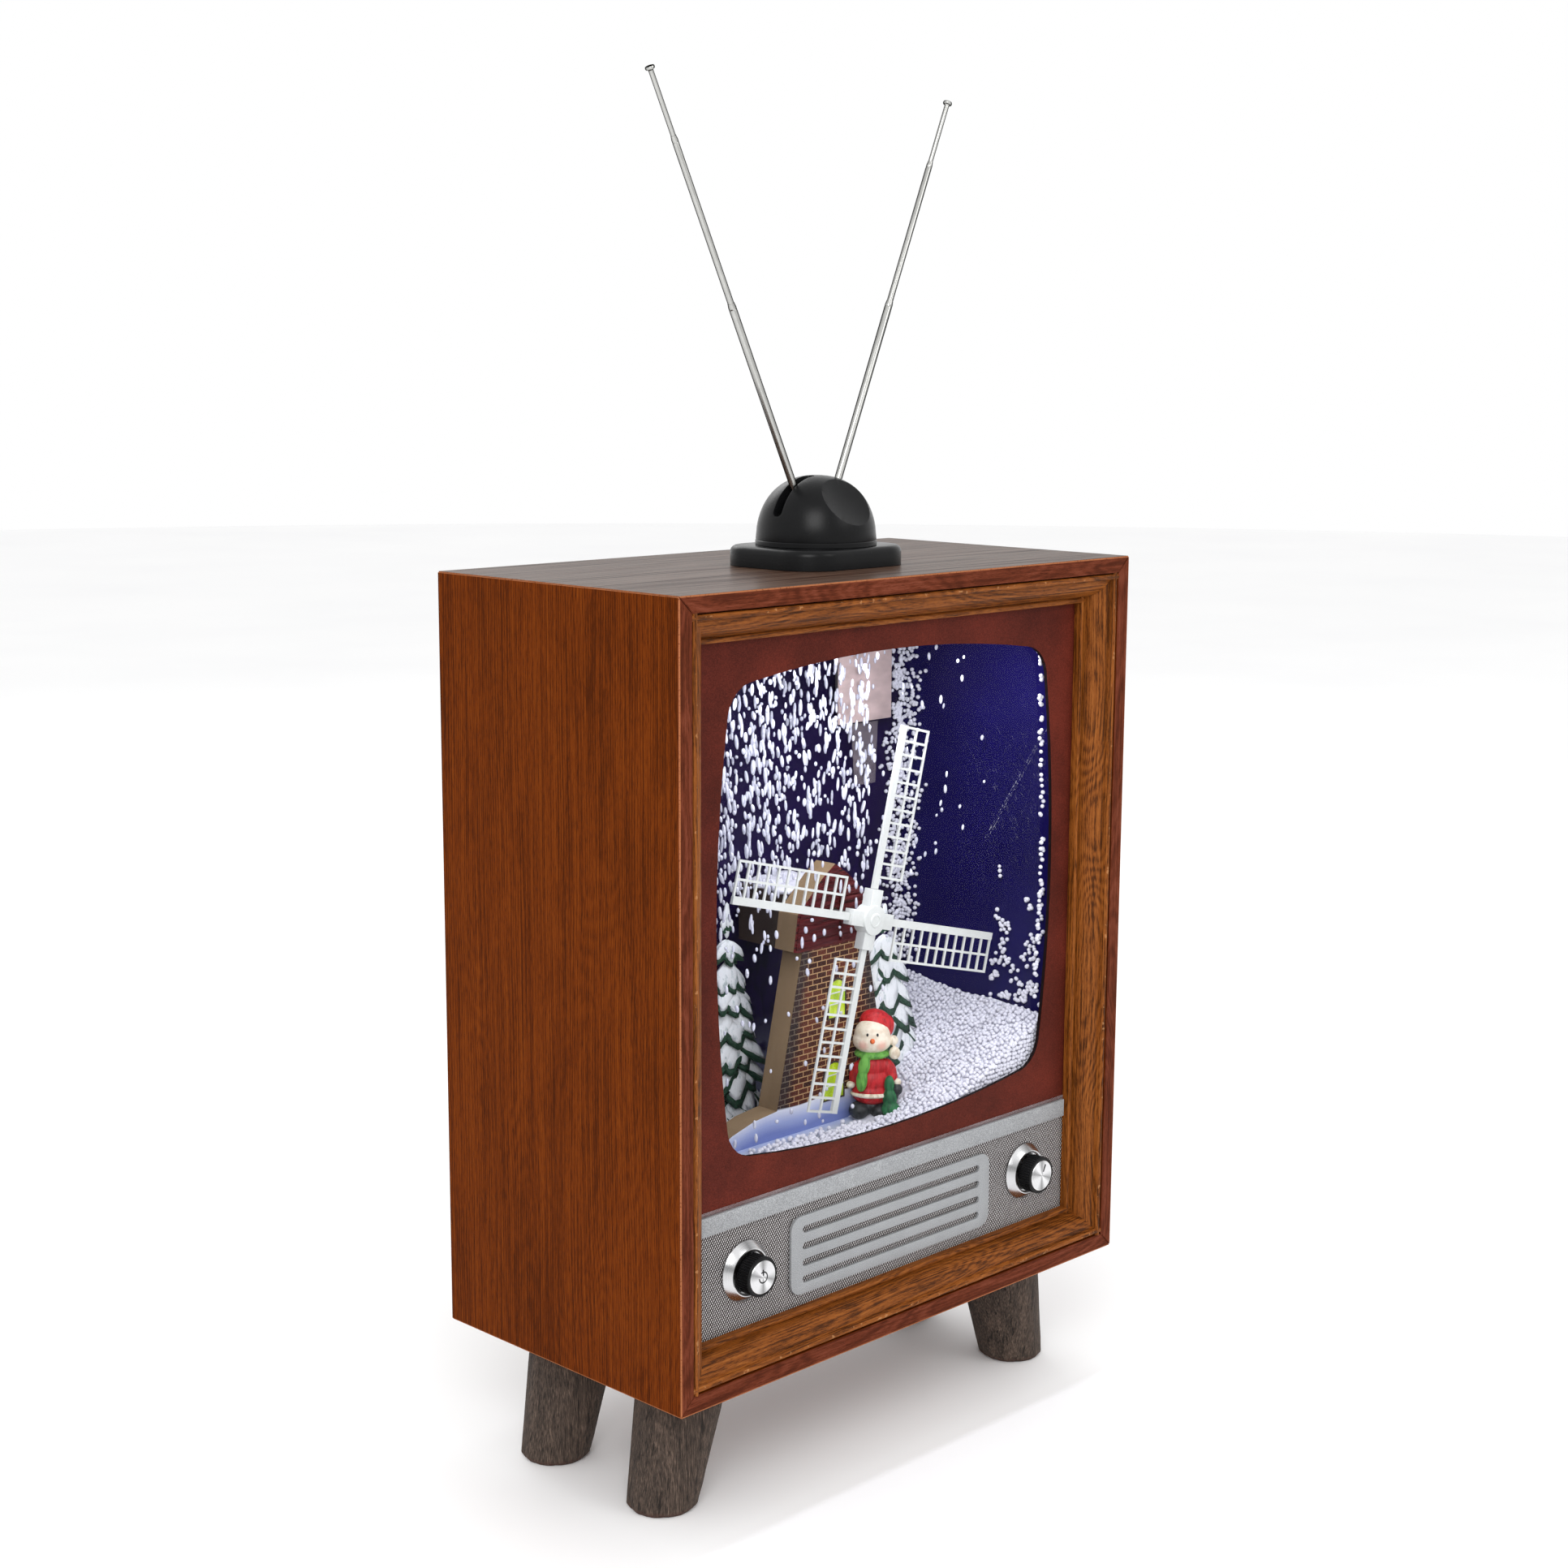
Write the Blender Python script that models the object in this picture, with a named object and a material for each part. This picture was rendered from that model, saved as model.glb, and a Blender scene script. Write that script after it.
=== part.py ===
"""Snowing scene display in the shape of a vintage television.

A veneered cabinet on four splayed legs holds a sealed snow chamber behind a bulged screen
window. A blower throws light beads up a duct, they fall past a turning windmill, and a
rabbit-ear antenna with two telescopic rods stands on top.
"""

import math

import bmesh
import bpy
from mathutils import Matrix, Vector

# ---------------------------------------------------------------- driving dimensions, metres
GAP = 0.0003                      # clearance between neighbouring solids

CABINET_WIDTH = 0.4256
CABINET_DEPTH = 0.2246
CABINET_HEIGHT = 0.500
BOARD = 0.011                     # cabinet board thickness
BOARD_BEVEL = 0.0006

LEG_HEIGHT = 0.088
LEG_TOP_RADIUS = 0.0302
LEG_FOOT_RADIUS = 0.0235
LEG_TOP_X = 0.1545
LEG_FOOT_X = 0.1744
LEG_Y = 0.0525
LEG_SIDES = 24

MOULDING_WIDTH = 0.021
FASCIA_RECESS = 0.022
FASCIA_THICKNESS = 0.003
MESH_THICKNESS = 0.0015
WINDOW_SIZE = (0.344, 0.348)
WINDOW_THICKNESS = 0.002
WINDOW_CORNER = 0.012
STRIP_BOTTOM = 0.1004             # heights on the front are measured from the cabinet's underside
STRIP_TOP = 0.1128
STRIP_HALF_WIDTH = 0.1795
STRIP_THICKNESS = 0.0027

SCREEN_CENTRE = 0.292
SCREEN_HALF_WIDTH = 0.150
SCREEN_HALF_HEIGHT = 0.1465
SCREEN_BULGE_X = 0.012
SCREEN_BULGE_Z = 0.0127
SCREEN_CORNER = 0.016

GRILLE_SIZE = (0.196, 0.0525)
GRILLE_CENTRE = 0.0663
GRILLE_THICKNESS = 0.002
GRILLE_CORNER = 0.009
SLOT_LENGTH = 0.1748
SLOT_HEIGHT = 0.0048
SLOT_PITCH = 0.0112

KNOB_X = 0.138
KNOB_CENTRE = 0.069
KNOB_RADIUS = 0.0132
BEZEL_RADIUS = 0.020
CONTROL_HOLE_RADIUS = 0.0052
SHAFT_RADIUS = 0.003

CHAMBER_HALF_WIDTH = 0.172
CHAMBER_FLOOR = 0.110             # top of the chamber's floor, above the cabinet's underside
CHAMBER_CEILING = 0.466
CHAMBER_BACK = 0.060              # inner face of the chamber's back wall
CHAMBER_WALL = 0.002

ROTOR_X = 0.016
ROTOR_CENTRE = 0.264
ROTOR_Y = -0.052
ROTOR_PHASE = math.radians(14.5)
SAIL_TIP = 0.132
SAIL_ROOT = 0.0282
SAIL_WIDTH = 0.0262
SAIL_CELLS = 11
SAIL_BAR = 0.0016

TOWER_X = 0.017
TOWER_FRONT = -0.020
TOWER_THICKNESS = 0.018

FAN_X = 0.122
FAN_CENTRE = 0.165
FAN_RADIUS = 0.042

ANTENNA_Y = -0.016
PLINTH_SIZE = (0.102, 0.088)
PLINTH_HEIGHT = 0.013
PLINTH_CORNER = 0.024
DOME_RADIUS = 0.040
DOME_HEIGHT = 0.045
PIVOT_X = 0.0075
PIVOT_HEIGHT = 0.024              # above the cabinet's top
ROD_LEAN = {"left": -26.2, "right": 22.8}
MIDDLE_SHOWS = {"left": 0.110, "right": 0.100}
TIP_SHOWS = 0.044
LOWER_END = 0.160                 # distance from the pivot to the lower section's open end

# ---------------------------------------------------------------- derived planes
UNDERSIDE = LEG_HEIGHT
TOP = LEG_HEIGHT + CABINET_HEIGHT
FRONT = -CABINET_DEPTH / 2
FASCIA_Y = FRONT + FASCIA_RECESS
INNER_HALF_WIDTH = CABINET_WIDTH / 2 - BOARD


# ---------------------------------------------------------------- helpers
def clear_scene():
    for item in list(bpy.data.objects):
        bpy.data.objects.remove(item, do_unlink=True)


def material(name, colour, roughness, metallic=0.0, alpha=1.0):
    made = bpy.data.materials.new(name)
    made.use_nodes = True
    shader = made.node_tree.nodes["Principled BSDF"]
    shader.inputs["Base Color"].default_value = (*colour, 1.0)
    shader.inputs["Roughness"].default_value = roughness
    shader.inputs["Metallic"].default_value = metallic
    shader.inputs["Alpha"].default_value = alpha
    made.diffuse_color = (*colour, alpha)
    return made


def finish(name, mesh_data, look, smooth=False):
    """Turn a bmesh into a named object with outward faces and one material."""
    bmesh.ops.remove_doubles(mesh_data, verts=mesh_data.verts, dist=1e-6)
    bmesh.ops.recalc_face_normals(mesh_data, faces=mesh_data.faces)
    mesh = bpy.data.meshes.new(name)
    mesh_data.to_mesh(mesh)
    mesh_data.free()
    if smooth:
        mesh.shade_smooth()
        mesh.set_sharp_from_angle(angle=math.radians(35))
    item = bpy.data.objects.new(name, mesh)
    bpy.context.scene.collection.objects.link(item)
    if look is not None:
        mesh.materials.append(look)
    return item


def box(name, low, high, look):
    mesh_data = bmesh.new()
    size = [high[i] - low[i] for i in range(3)]
    centre = [(high[i] + low[i]) / 2 for i in range(3)]
    place = Matrix.Translation(centre) @ Matrix.Diagonal((*size, 1.0))
    bmesh.ops.create_cube(mesh_data, size=1.0, matrix=place)
    return finish(name, mesh_data, look)


def plate(name, outline, low, high, look, holes=(), axis="Y", smooth=False):
    """A flat plate with holes. Its outline is (x, z) for axis Y and (x, y) for axis Z."""
    mesh_data = bmesh.new()
    edges = []
    for loop in (outline, *holes):
        if axis == "Y":
            corners = [mesh_data.verts.new((a, low, b)) for a, b in loop]
        else:
            corners = [mesh_data.verts.new((a, b, low)) for a, b in loop]
        for index, corner in enumerate(corners):
            edges.append(mesh_data.edges.new((corner, corners[(index + 1) % len(corners)])))
    bmesh.ops.triangle_fill(mesh_data, use_beauty=True, use_dissolve=False, edges=edges)
    grown = bmesh.ops.extrude_face_region(mesh_data, geom=mesh_data.faces[:])
    moved = [part for part in grown["geom"] if isinstance(part, bmesh.types.BMVert)]
    step = (0, high - low, 0) if axis == "Y" else (0, 0, high - low)
    bmesh.ops.translate(mesh_data, verts=moved, vec=step)
    return finish(name, mesh_data, look, smooth)


def turned(name, profile, look, sides=32, ring=False, smooth=True):
    """Spin a profile of (radius, height) about Z. A ring's profile closes on itself."""
    mesh_data = bmesh.new()
    points = [mesh_data.verts.new((radius, 0, height)) for radius, height in profile]
    edges = [mesh_data.edges.new(pair) for pair in zip(points, points[1:])]
    if ring:
        edges.append(mesh_data.edges.new((points[-1], points[0])))
    bmesh.ops.spin(mesh_data, geom=points + edges, cent=(0, 0, 0), axis=(0, 0, 1),
                   angle=math.tau, steps=sides, use_merge=True)
    bmesh.ops.remove_doubles(mesh_data, verts=mesh_data.verts, dist=1e-6)
    loose = [edge for edge in mesh_data.edges if not edge.link_faces]
    bmesh.ops.delete(mesh_data, geom=loose, context="EDGES")
    return finish(name, mesh_data, look, smooth)


def place(item, location, towards=None, parent=None):
    """Put an item's own Z along `towards` at a world location, under a parent if given."""
    turn = Matrix.Identity(4)
    if towards is not None:
        turn = Vector(towards).to_track_quat("Z", "Y").to_matrix().to_4x4()
    world = Matrix.Translation(location) @ turn
    if parent is not None:
        item.parent = parent
        item.matrix_parent_inverse = Matrix.Identity(4)
        item.matrix_local = parent.matrix_world.inverted() @ world
    else:
        item.matrix_world = world
    return item


def axis_empty(name, location, turn_y=0.0):
    """An empty on a joint's axis, turned about the world's Y axis."""
    empty = bpy.data.objects.new(name, None)
    bpy.context.scene.collection.objects.link(empty)
    empty.matrix_world = Matrix.Translation(location) @ Matrix.Rotation(turn_y, 4, "Y")
    bpy.context.view_layer.update()
    return empty


def as_cutter(item):
    item.hide_render = True
    item.display_type = "WIRE"
    return item


def boolean(item, cutter, operation="DIFFERENCE"):
    change = item.modifiers.new(cutter.name, "BOOLEAN")
    change.operation = operation
    change.solver = "EXACT"
    change.object = as_cutter(cutter)
    return item


def rounded_rectangle(width, height, radius, centre=(0.0, 0.0), steps=6):
    points = []
    for quarter in range(4):
        sign_x = 1 if quarter in (0, 3) else -1
        sign_y = 1 if quarter in (0, 1) else -1
        for step in range(steps + 1):
            angle = math.pi / 2 * (quarter + step / steps)
            points.append((centre[0] + sign_x * (width / 2 - radius) + radius * math.cos(angle),
                           centre[1] + sign_y * (height / 2 - radius) + radius * math.sin(angle)))
    return points


def circle(radius, centre=(0.0, 0.0), sides=24):
    return [(centre[0] + radius * math.cos(math.tau * i / sides),
             centre[1] + radius * math.sin(math.tau * i / sides)) for i in range(sides)]


def rectangle(low, high):
    return [(low[0], low[1]), (high[0], low[1]), (high[0], high[1]), (low[0], high[1])]


def on_front(height):
    """World Z of a height measured up from the cabinet's underside."""
    return UNDERSIDE + height


# ---------------------------------------------------------------- cabinet and legs
def build_cabinet(veneer):
    half, inner = CABINET_WIDTH / 2, INNER_HALF_WIDTH
    mitre = GAP * 0.7
    rail = [(-half + mitre, 0), (half - mitre, 0), (inner - mitre, BOARD), (-inner + mitre, BOARD)]
    upright = [(half, mitre), (half, CABINET_HEIGHT - mitre),
               (inner, CABINET_HEIGHT - BOARD - mitre), (inner, BOARD + mitre)]
    outlines = {
        "cabinet_bottom": [(x, UNDERSIDE + z) for x, z in rail],
        "cabinet_top": [(x, TOP - z) for x, z in rail],
        "cabinet_side_right": [(x, UNDERSIDE + z) for x, z in upright],
        "cabinet_side_left": [(-x, UNDERSIDE + z) for x, z in upright],
    }
    for name, outline in outlines.items():
        board = plate(name, outline, FRONT, -FRONT, veneer)
        edge = board.modifiers.new("eased_edges", "BEVEL")
        edge.width = BOARD_BEVEL
        edge.segments = 1
        edge.limit_method = "ANGLE"


def build_legs(wood):
    """Each leg is a frustum cut level at both ends, leaning outwards, with an eased foot."""
    stations = [(1.0, 1.0), (0.5, 0.5), (0.0345, 0.0345), (0.0, 0.0)]
    for side, sign_x in (("left", -1), ("right", 1)):
        for end, sign_y in (("front", -1), ("back", 1)):
            mesh_data = bmesh.new()
            rings = []
            for up, lean in stations:
                radius = LEG_FOOT_RADIUS + (LEG_TOP_RADIUS - LEG_FOOT_RADIUS) * up
                if up == 0.0:
                    radius -= 0.0028
                centre_x = sign_x * (LEG_FOOT_X + (LEG_TOP_X - LEG_FOOT_X) * lean)
                height = (LEG_HEIGHT - GAP) * up
                level = Matrix.Translation((centre_x, sign_y * LEG_Y, height))
                ring = bmesh.ops.create_circle(mesh_data, segments=LEG_SIDES, radius=radius,
                                               matrix=level, cap_ends=up in (0.0, 1.0))
                rings.append(ring["verts"])
            for upper, lower in zip(rings, rings[1:]):
                for i in range(LEG_SIDES):
                    j = (i + 1) % LEG_SIDES
                    mesh_data.faces.new((upper[i], upper[j], lower[j], lower[i]))
            finish(f"leg_{end}_{side}", mesh_data, wood, smooth=True)


# ---------------------------------------------------------------- moulding
def moulding_profile():
    """(inset from the board, depth behind the cabinet's front), a bead, a cove and a lip."""
    bead = 0.0021
    points = [(GAP, FASCIA_RECESS - GAP), (GAP, 0.0024)]
    for step in range(5):
        angle = math.pi * (1 - step / 4)
        points.append((GAP + bead + bead * math.cos(angle), 0.0024 - bead * math.sin(angle)))
    points += [(0.0049, 0.0034), (0.0062, 0.0034)]
    cove = 0.0105
    for step in range(1, 6):
        angle = math.pi / 2 * step / 6
        points.append((0.0062 + cove * math.sin(angle), 0.0034 + 0.0135 * (1 - math.cos(angle))))
    points += [(0.0169, 0.0172), (0.0178, 0.0162), (0.0192, 0.0158), (0.0205, 0.0167),
               (MOULDING_WIDTH, 0.0180), (MOULDING_WIDTH, FASCIA_RECESS - GAP)]
    return points


def build_moulding(oak):
    """Four mitred bars around the front opening, all with one profile."""
    profile = moulding_profile()
    half_height = CABINET_HEIGHT / 2 - BOARD
    middle = UNDERSIDE + CABINET_HEIGHT / 2
    mitre = GAP * 0.7
    for name, along, across, sign in (("moulding_top", INNER_HALF_WIDTH, half_height, 1),
                                      ("moulding_bottom", INNER_HALF_WIDTH, half_height, -1),
                                      ("moulding_right", half_height, INNER_HALF_WIDTH, 1),
                                      ("moulding_left", half_height, INNER_HALF_WIDTH, -1)):
        mesh_data = bmesh.new()
        ends = []
        for direction in (-1, 1):
            ring = []
            for inset, depth in profile:
                run = direction * (along - inset - mitre)
                rise = sign * (across - inset)
                x, z = (run, rise) if "top" in name or "bottom" in name else (rise, run)
                ring.append(mesh_data.verts.new((x, FRONT + depth, middle + z)))
            mesh_data.faces.new(ring)
            ends.append(ring)
        for i in range(len(profile)):
            j = (i + 1) % len(profile)
            mesh_data.faces.new((ends[0][i], ends[0][j], ends[1][j], ends[1][i]))
        finish(name, mesh_data, oak)


# ---------------------------------------------------------------- front panel
def screen_outline():
    """Rounded rectangle whose four sides are bowed outwards, like a picture tube's face."""
    half_x, half_z = SCREEN_HALF_WIDTH, SCREEN_HALF_HEIGHT
    points = []
    corner = rounded_rectangle(2 * half_x, 2 * half_z, SCREEN_CORNER, steps=5)
    for (x0, z0), (x1, z1) in zip(corner, corner[1:] + corner[:1]):
        length = math.hypot(x1 - x0, z1 - z0)
        pieces = 10 if length > SCREEN_CORNER * 2 else 1
        for step in range(pieces):
            x = x0 + (x1 - x0) * step / pieces
            z = z0 + (z1 - z0) * step / pieces
            bow_x = 1 + SCREEN_BULGE_X / half_x * (1 - (z / half_z) ** 2)
            bow_z = 1 + SCREEN_BULGE_Z / half_z * (1 - (x / half_x) ** 2)
            points.append((x * bow_x, on_front(SCREEN_CENTRE) + z * bow_z))
    return points


def build_front(looks):
    half = INNER_HALF_WIDTH - GAP
    split = on_front((STRIP_BOTTOM + STRIP_TOP) / 2)
    low, high = on_front(BOARD) + GAP, TOP - BOARD - GAP
    plate("fascia_panel", rectangle((-half, split + GAP), (half, high)), FASCIA_Y,
          FASCIA_Y + FASCIA_THICKNESS, looks["maroon"], holes=[screen_outline()])
    window_y = FASCIA_Y + FASCIA_THICKNESS + GAP
    window = rounded_rectangle(*WINDOW_SIZE, WINDOW_CORNER, (0, on_front(SCREEN_CENTRE)), 4)
    plate("screen_window", window, window_y, window_y + WINDOW_THICKNESS, looks["clear"])
    knob_holes = [circle(CONTROL_HOLE_RADIUS, (sign * KNOB_X, on_front(KNOB_CENTRE)), 20)
                  for sign in (-1, 1)]
    plate("speaker_mesh", rectangle((-half, low), (half, split)), FASCIA_Y,
          FASCIA_Y + MESH_THICKNESS, looks["mesh"], holes=knob_holes)
    strip = box("divider_strip", (-STRIP_HALF_WIDTH, FASCIA_Y - GAP - STRIP_THICKNESS,
                                  on_front(STRIP_BOTTOM)),
                (STRIP_HALF_WIDTH, FASCIA_Y - GAP, on_front(STRIP_TOP)), looks["silver"])
    edge = strip.modifiers.new("eased_edges", "BEVEL")
    edge.width = 0.0006
    edge.segments = 2
    edge.limit_method = "ANGLE"
    slots = []
    for row in range(4):
        height = on_front(GRILLE_CENTRE) + (row - 1.5) * SLOT_PITCH
        slots.append(rounded_rectangle(SLOT_LENGTH, SLOT_HEIGHT, SLOT_HEIGHT / 2 - 1e-5,
                                       (0, height), 4))
    outline = rounded_rectangle(*GRILLE_SIZE, GRILLE_CORNER, (0, on_front(GRILLE_CENTRE)))
    plate("grille_plate", outline, FASCIA_Y - GAP - GRILLE_THICKNESS, FASCIA_Y - GAP,
          looks["silver"], holes=slots)


# ---------------------------------------------------------------- knobs and controls
def build_controls(looks):
    """Each control turns about Y. Heights in the profiles run towards the viewer."""
    face = FASCIA_Y - GAP
    bezel = [(0.0062, 0.0), (BEZEL_RADIUS, 0.0), (BEZEL_RADIUS, 0.0009), (0.0190, 0.0022),
             (0.0157, 0.0052), (0.0148, 0.0056), (0.0141, 0.0050), (0.0136, 0.0030),
             (0.0062, 0.0030)]
    bore = SHAFT_RADIUS + 0.0003
    knob = [(bore, 0.0058), (0.0126, 0.0058), (KNOB_RADIUS, 0.0066), (KNOB_RADIUS - 0.0004, 0.0156),
            (KNOB_RADIUS - 0.0012, 0.0164), (0.0113, 0.0164), (0.0113, 0.0152), (0.0, 0.0152),
            (0.0, 0.0140), (bore, 0.0140)]
    cap = [(0.0, 0.0155), (0.0110, 0.0155), (0.0110, 0.0163), (0.0103, 0.0169), (0.0, 0.0170)]
    shaft = [(0.0, -0.0140), (SHAFT_RADIUS, -0.0140), (SHAFT_RADIUS, 0.0134), (0.0, 0.0137)]
    body = [(0.0032, 0.0), (0.0045, 0.0), (0.0045, -0.0035), (0.0090, -0.0035),
            (0.0090, -0.0180), (0.0, -0.0180), (0.0, -0.0146), (0.0032, -0.0146)]
    for side, sign, label, unit in (("left", -1, "power", "power_switch"),
                                    ("right", 1, "volume", "volume_control")):
        centre = (sign * KNOB_X, face, on_front(KNOB_CENTRE))
        towards = (0, -1, 0)
        place(turned(f"bezel_{side}", bezel, looks["chrome"], 28, ring=True), centre, towards)
        place(turned(unit, body, looks["steel"], 16, ring=True), centre, towards)
        axis = axis_empty(f"{label}_axis", centre)
        place(turned(f"{label}_shaft", shaft, looks["steel"], 16), centre, towards, axis)
        knob_body = turned(f"{label}_knob", knob, looks["black"], 24, ring=True)
        place(knob_body, centre, towards, axis)
        place(turned(f"{label}_knob_cap", cap, looks["aluminium"], 24), centre, towards, axis)


# ---------------------------------------------------------------- antenna
def dome_profile():
    """Outer wall of a slightly squared dome, then its inner wall, as a closed ring profile."""
    squareness = 2 / 2.29
    outer = [(DOME_RADIUS * math.cos(a) ** squareness, DOME_HEIGHT * math.sin(a) ** squareness)
             for a in [math.pi / 2 * i / 9 for i in range(10)]]
    inner_radius, inner_height = 0.0345, 0.0385
    inner = [(inner_radius * math.cos(a), inner_height * math.sin(a))
             for a in [math.pi / 2 * (1 - i / 5) for i in range(6)]]
    outer[-1] = (0.0, DOME_HEIGHT)
    inner[0] = (0.0, inner_height)
    return outer + inner


def build_antenna_base(black):
    seat = TOP + GAP
    plinth_outline = rounded_rectangle(*PLINTH_SIZE, PLINTH_CORNER, (0, ANTENNA_Y), 5)
    plinth = plate("antenna_plinth", plinth_outline, seat, seat + PLINTH_HEIGHT, black,
                   axis="Z", smooth=True)
    edge = plinth.modifiers.new("soft_edge", "BEVEL")
    edge.width = 0.0035
    edge.segments = 2
    edge.limit_method = "ANGLE"
    edge.angle_limit = math.radians(60)
    pivot_z = TOP + PIVOT_HEIGHT
    ear_low = seat + PLINTH_HEIGHT - 0.001
    for sign in (-1, 1):
        ear = plate(f"ear_{sign}", rectangle((-0.0165, ear_low), (0.0165, pivot_z + 0.0050)),
                    ANTENNA_Y + sign * 0.0093 - 0.0014, ANTENNA_Y + sign * 0.0093 + 0.0014, None,
                    holes=[circle(0.0026, (side * PIVOT_X, pivot_z), 14) for side in (-1, 1)])
        boolean(plinth, ear, "UNION")

    dome_z = seat + PLINTH_HEIGHT + GAP
    dome = place(turned("antenna_dome", dome_profile(), black, 40, ring=True),
                 (0, ANTENNA_Y, dome_z))
    for sign in (-1, 1):
        start, stop, reach = math.radians(-6), math.radians(73), 0.060
        wedge = [(sign * (PIVOT_X + 0.008 * math.sin(start)), pivot_z + 0.008 * math.cos(start))]
        for step in range(5):
            angle = start + (stop - start) * step / 4
            wedge.append((sign * (PIVOT_X + reach * math.sin(angle)),
                          pivot_z + reach * math.cos(angle)))
        wedge.append((sign * (PIVOT_X + 0.008 * math.sin(stop)), pivot_z + 0.008 * math.cos(stop)))
        slot = plate(f"rod_slot_{sign}", wedge, ANTENNA_Y - 0.0038, ANTENNA_Y + 0.0038, None)
        boolean(dome, slot)
        tilt = math.radians(41)
        outwards = Vector((0, sign * math.cos(tilt), math.sin(tilt)))
        centre = Vector((0, ANTENNA_Y, dome_z)) + outwards * 0.0372
        dish = turned(f"dish_{sign}", [(0, 0), (0.024, 0.0026), (0.024, 0.02), (0, 0.02)], None, 32)
        boolean(dome, place(dish, centre, outwards))


def telescopic_section(name, outer, bore, start, end, look, tip=False):
    """A drawn tube from start to end along its rod, closed at its lower end."""
    if tip:
        profile = [(0, start), (outer, start), (outer, end - 0.0025), (0.0029, end - 0.0022),
                   (0.0031, end - 0.0012), (0.0029, end - 0.0002), (0.0, end)]
        return turned(name, profile, look, 16)
    profile = [(0, start), (outer, start), (outer, end - 0.0008), (outer - 0.0002, end), (bore, end),
               (bore, start + 0.003), (0, start + 0.003)]
    return turned(name, profile, look, 16)


def build_rods(looks):
    pivot_z = TOP + PIVOT_HEIGHT
    for side, sign in (("left", -1), ("right", 1)):
        centre = (sign * PIVOT_X, ANTENNA_Y, pivot_z)
        axis = axis_empty(f"rod_axis_{side}", centre, math.radians(ROD_LEAN[side]))
        barrel = [(0, -0.0106), (0.0023, -0.0106), (0.0023, -0.0076), (0.0056, -0.0076),
                  (0.0056, 0.0076), (0.0023, 0.0076), (0.0023, 0.0106), (0, 0.0106)]
        place(turned(f"antenna_pivot_{side}", barrel, looks["brass"], 16), centre, (0, 1, 0), axis)
        middle_end = LOWER_END + MIDDLE_SHOWS[side]
        tip_end = middle_end + TIP_SHOWS
        sections = [
            telescopic_section(f"rod_{side}_lower", 0.0026, 0.00225, 0.0060, LOWER_END,
                               looks["chrome"]),
            telescopic_section(f"rod_{side}_middle", 0.0021, 0.00175, middle_end - 0.150,
                               middle_end, looks["chrome"]),
            telescopic_section(f"rod_{side}_tip", 0.0016, 0.0, tip_end - 0.146, tip_end,
                               looks["chrome"], tip=True),
        ]
        for section in sections:
            section.parent = axis


# ---------------------------------------------------------------- chamber and windmill
def build_chamber(looks):
    front = FASCIA_Y + FASCIA_THICKNESS + WINDOW_THICKNESS + 2 * GAP
    wall = CHAMBER_WALL
    half = CHAMBER_HALF_WIDTH
    floor, ceiling = on_front(CHAMBER_FLOOR), on_front(CHAMBER_CEILING)
    chamber = box("snow_chamber", (-half - wall, front, floor - wall),
                  (half + wall, CHAMBER_BACK + wall, ceiling + wall), looks["night"])
    inside = box("chamber_inside", (-half, front - 0.01, floor), (half, CHAMBER_BACK, ceiling), None)
    boolean(chamber, inside)
    intake = turned("chamber_intake", [(0, -0.01), (0.018, -0.01), (0.018, 0.01), (0, 0.01)],
                    None, 24)
    boolean(chamber, place(intake, (FAN_X, CHAMBER_BACK, on_front(FAN_CENTRE)), (0, 1, 0)))
    outlet = box("chamber_outlet", (FAN_X - 0.022, CHAMBER_BACK - 0.01, on_front(0.384)),
                 (FAN_X + 0.022, CHAMBER_BACK + 0.01, on_front(0.424)), None)
    boolean(chamber, outlet)
    box("light_bar", (-0.140, front + 0.004, ceiling - 0.010), (0.140, front + 0.016,
        ceiling - GAP), looks["lamp"])
    box("scenic_base", (-0.100, -0.066, floor + GAP), (0.092, TOWER_FRONT - GAP, floor + 0.006),
        looks["snow"])


def tower_outline():
    """Ground hump, tapering tower and the eight-sided roof, as one cut-out board."""
    left = [(-0.112, 0.010), (-0.097, 0.017), (-0.077, 0.0225), (-0.055, 0.0250),
            (-0.032, 0.130), (-0.040, 0.132), (-0.036, 0.157), (-0.012, 0.179), (0.0, 0.187)]
    right = [(0.012, 0.179), (0.036, 0.157), (0.040, 0.132), (0.032, 0.130), (0.055, 0.018),
             (0.075, 0.008)]
    foot = GAP
    points = [(-0.112, foot)] + left + right + [(0.075, foot)]
    return [(TOWER_X + x, on_front(CHAMBER_FLOOR) + z) for x, z in points]


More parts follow.
